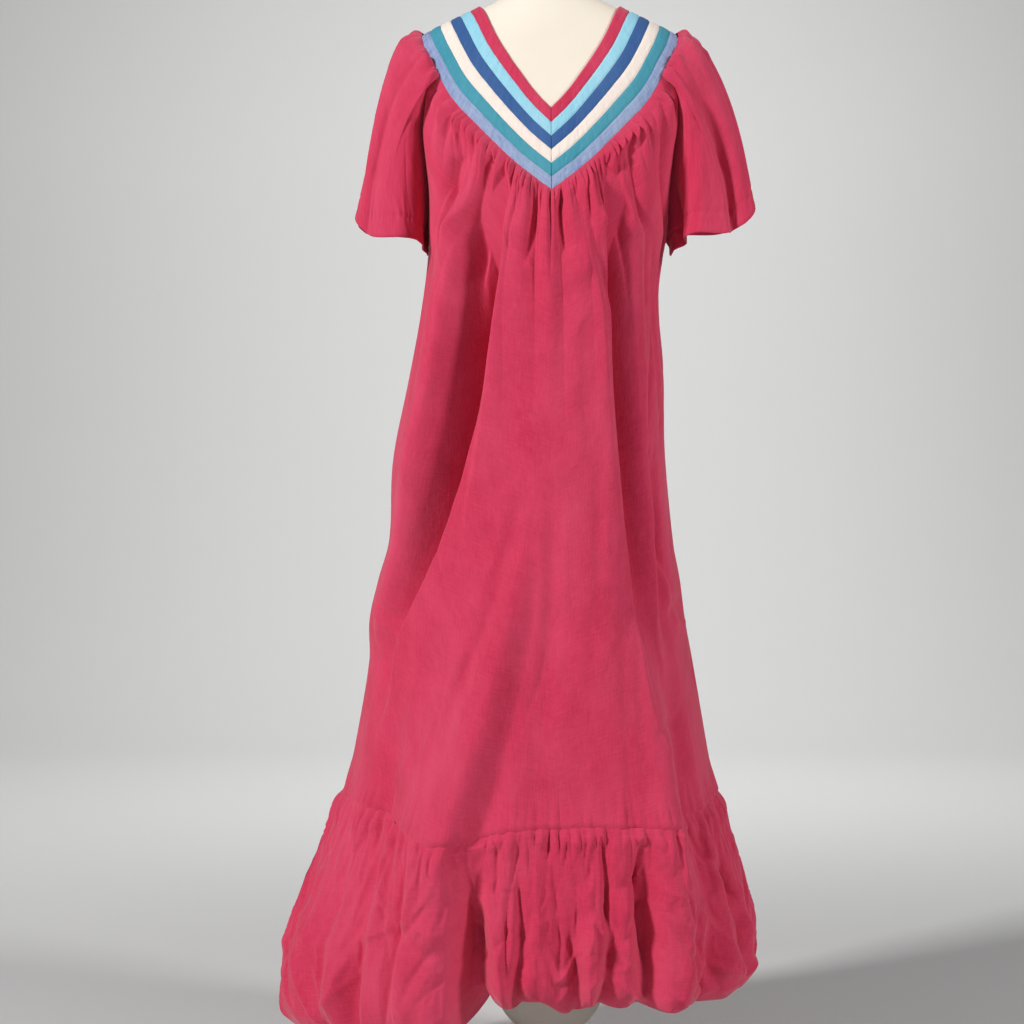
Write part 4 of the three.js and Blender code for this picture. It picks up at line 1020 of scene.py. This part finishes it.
for is_front, name, carrier in ((True, "ruffle_front", "front_body"), (False, "ruffle_back", "back_body")):
    points, uv = ruffle_grid(is_front)
    edge = np.minimum(np.arange(points.shape[1]), np.arange(points.shape[1])[::-1])
    rim = np.arange(points.shape[0])[:, None]
    points = settle(points, np.where((edge == 0) | (rim <= 1), 1.0, HELD))
    frill = finish_piece(add_mesh(name + "_cloth", points, uv), name, ROSE)

for sleeve in SLEEVES:
    points, around, fall = sleeve_grid(sleeve)
    extra = len(points) - len(fall)
    around = np.concatenate([around, np.repeat(around[-1:], extra, axis=0)])
    fall = np.concatenate([fall, fall[-1:] + np.linspace(1, SLEEVE_HEM, extra)[:, None]])
    uv = np.stack([around, fall], -1)
    piece = add_mesh(sleeve["name"] + "_cloth", points, uv, ring=True)
    finish_piece(piece, sleeve["name"], ROSE)

JERSEY = smooth_material("form_jersey", (0.93, 0.85, 0.74), (0.82, 0.73, 0.6), 9.0, 0.9)
PAINT = smooth_material("stand_paint", (0.6, 0.56, 0.5), (0.48, 0.44, 0.39), 12.0, 0.5, bump=0.05)
STEEL = smooth_material(
    "pole_steel", (0.55, 0.55, 0.54), (0.42, 0.42, 0.41), 30.0, 0.35, metallic=0.9, bump=0.05
)

columns, rows = GRID["form"]
turn = np.linspace(-180, 180, columns + 1)[:-1][None, :]
heights = np.linspace(FORM_SECTIONS[-1]["z"], FORM_SECTIONS[0]["z"], rows + 1)[:, None]
torso_points = on_bearing(turn, form_radius(turn, heights), heights)
torso_uv = np.stack(np.broadcast_arrays(turn * 3.0, heights), -1)
torso = add_mesh("torso_jersey", torso_points, torso_uv, ring=True, close_top=True, close_foot=True)
finish_piece(torso, "form_torso", JERSEY)

bulb_deg = np.radians(np.linspace(BULB["firstDeg"], BULB["lastDeg"], 40))
bulb = np.stack([BULB["radius"] * np.cos(bulb_deg), BULB["z"] + BULB["height"] * np.sin(bulb_deg)], -1)
profile = np.concatenate([STAND_PROFILE, bulb, [[AXIS_GAP, bulb[-1, 1]]]])[::-1]
turn = np.linspace(-180, 180, 97)[:-1][None, :]
stand_points = on_bearing(turn, np.maximum(profile[:, :1], AXIS_GAP), profile[:, 1:])
stand_uv = np.stack(np.broadcast_arrays(turn, profile[:, 1:]), -1)
base = add_mesh("stand_foot", stand_points, stand_uv, ring=True)
finish_piece(base, "stand_base", PAINT)

pole_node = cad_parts["stand_pole"]
pole_node.data.materials.clear()
pole_node.data.materials.append(STEEL)

# Floor, light and camera
SWEEP = {"half": 9.0, "near": -7.0, "bend": 3.2, "radius": 2.4, "height": 9.0}
bend_deg = np.radians(np.linspace(0, 90, 25))
sweep_y = SWEEP["bend"] + SWEEP["radius"] * np.sin(bend_deg)
sweep_z = SWEEP["radius"] * (1 - np.cos(bend_deg))
bend = list(zip(sweep_y.tolist(), sweep_z.tolist()))
sweep = [(SWEEP["near"], 0.0), *bend, (bend[-1][0], SWEEP["height"])]
corners = [(x, y, z) for y, z in sweep for x in (-SWEEP["half"], SWEEP["half"])]
strips = [(2 * i, 2 * i + 1, 2 * i + 3, 2 * i + 2) for i in range(len(sweep) - 1)]
backdrop_mesh = bpy.data.meshes.new("backdrop")
backdrop_mesh.from_pydata(corners, [], strips)
backdrop_mesh.polygons.foreach_set("use_smooth", [True] * len(strips))
backdrop = add_object("backdrop", backdrop_mesh)
PAPER = smooth_material("pale_paper", (0.74, 0.74, 0.735), (0.72, 0.72, 0.715), 1.0, 0.95, bump=0.0)
backdrop.data.materials.append(PAPER)

scene.view_settings.view_transform = "Standard"
world = bpy.data.worlds.new("studio")
scene.world = world
world.use_nodes = True
sky = world.node_tree.nodes["Background"].inputs
sky["Color"].default_value = (0.86, 0.87, 0.88, 1)
sky["Strength"].default_value = 0.06

LIGHTS = rows_of("name place aim size watts", [
    ("key", (-3.3, -2.5, 3.1), (0, 0, 0.75), 0.6, 200),
    ("fill", (3.4, -1.9, 2.6), (0, 0, 0.8), 0.8, 92),
    ("back", (0.3, 2.0, 2.8), (0, 5.0, 1.5), 2.5, 75),
])
for row in LIGHTS:
    light = bpy.data.lights.new(row["name"], "AREA")
    light.energy = row["watts"]
    light.size = row["size"]
    lamp = add_object(row["name"], light)
    lamp.location = row["place"]
    lamp.rotation_euler = (Vector(row["aim"]) - Vector(row["place"])).to_track_quat("-Z", "Y").to_euler()

camera_data = bpy.data.cameras.new("camera")
camera_data.lens = CAMERA["sensor"] * CAMERA["distance"] / (CAMERA["mm_per_pixel"] * CAMERA["pixels"])
camera_data.sensor_width = CAMERA["sensor"]
camera = add_object("camera", camera_data)
camera.location = (CAMERA["x"] * MM, -CAMERA["distance"] * MM, CAMERA["height"] * MM)
camera.rotation_euler = (math.pi / 2, 0, 0)
scene.camera = camera
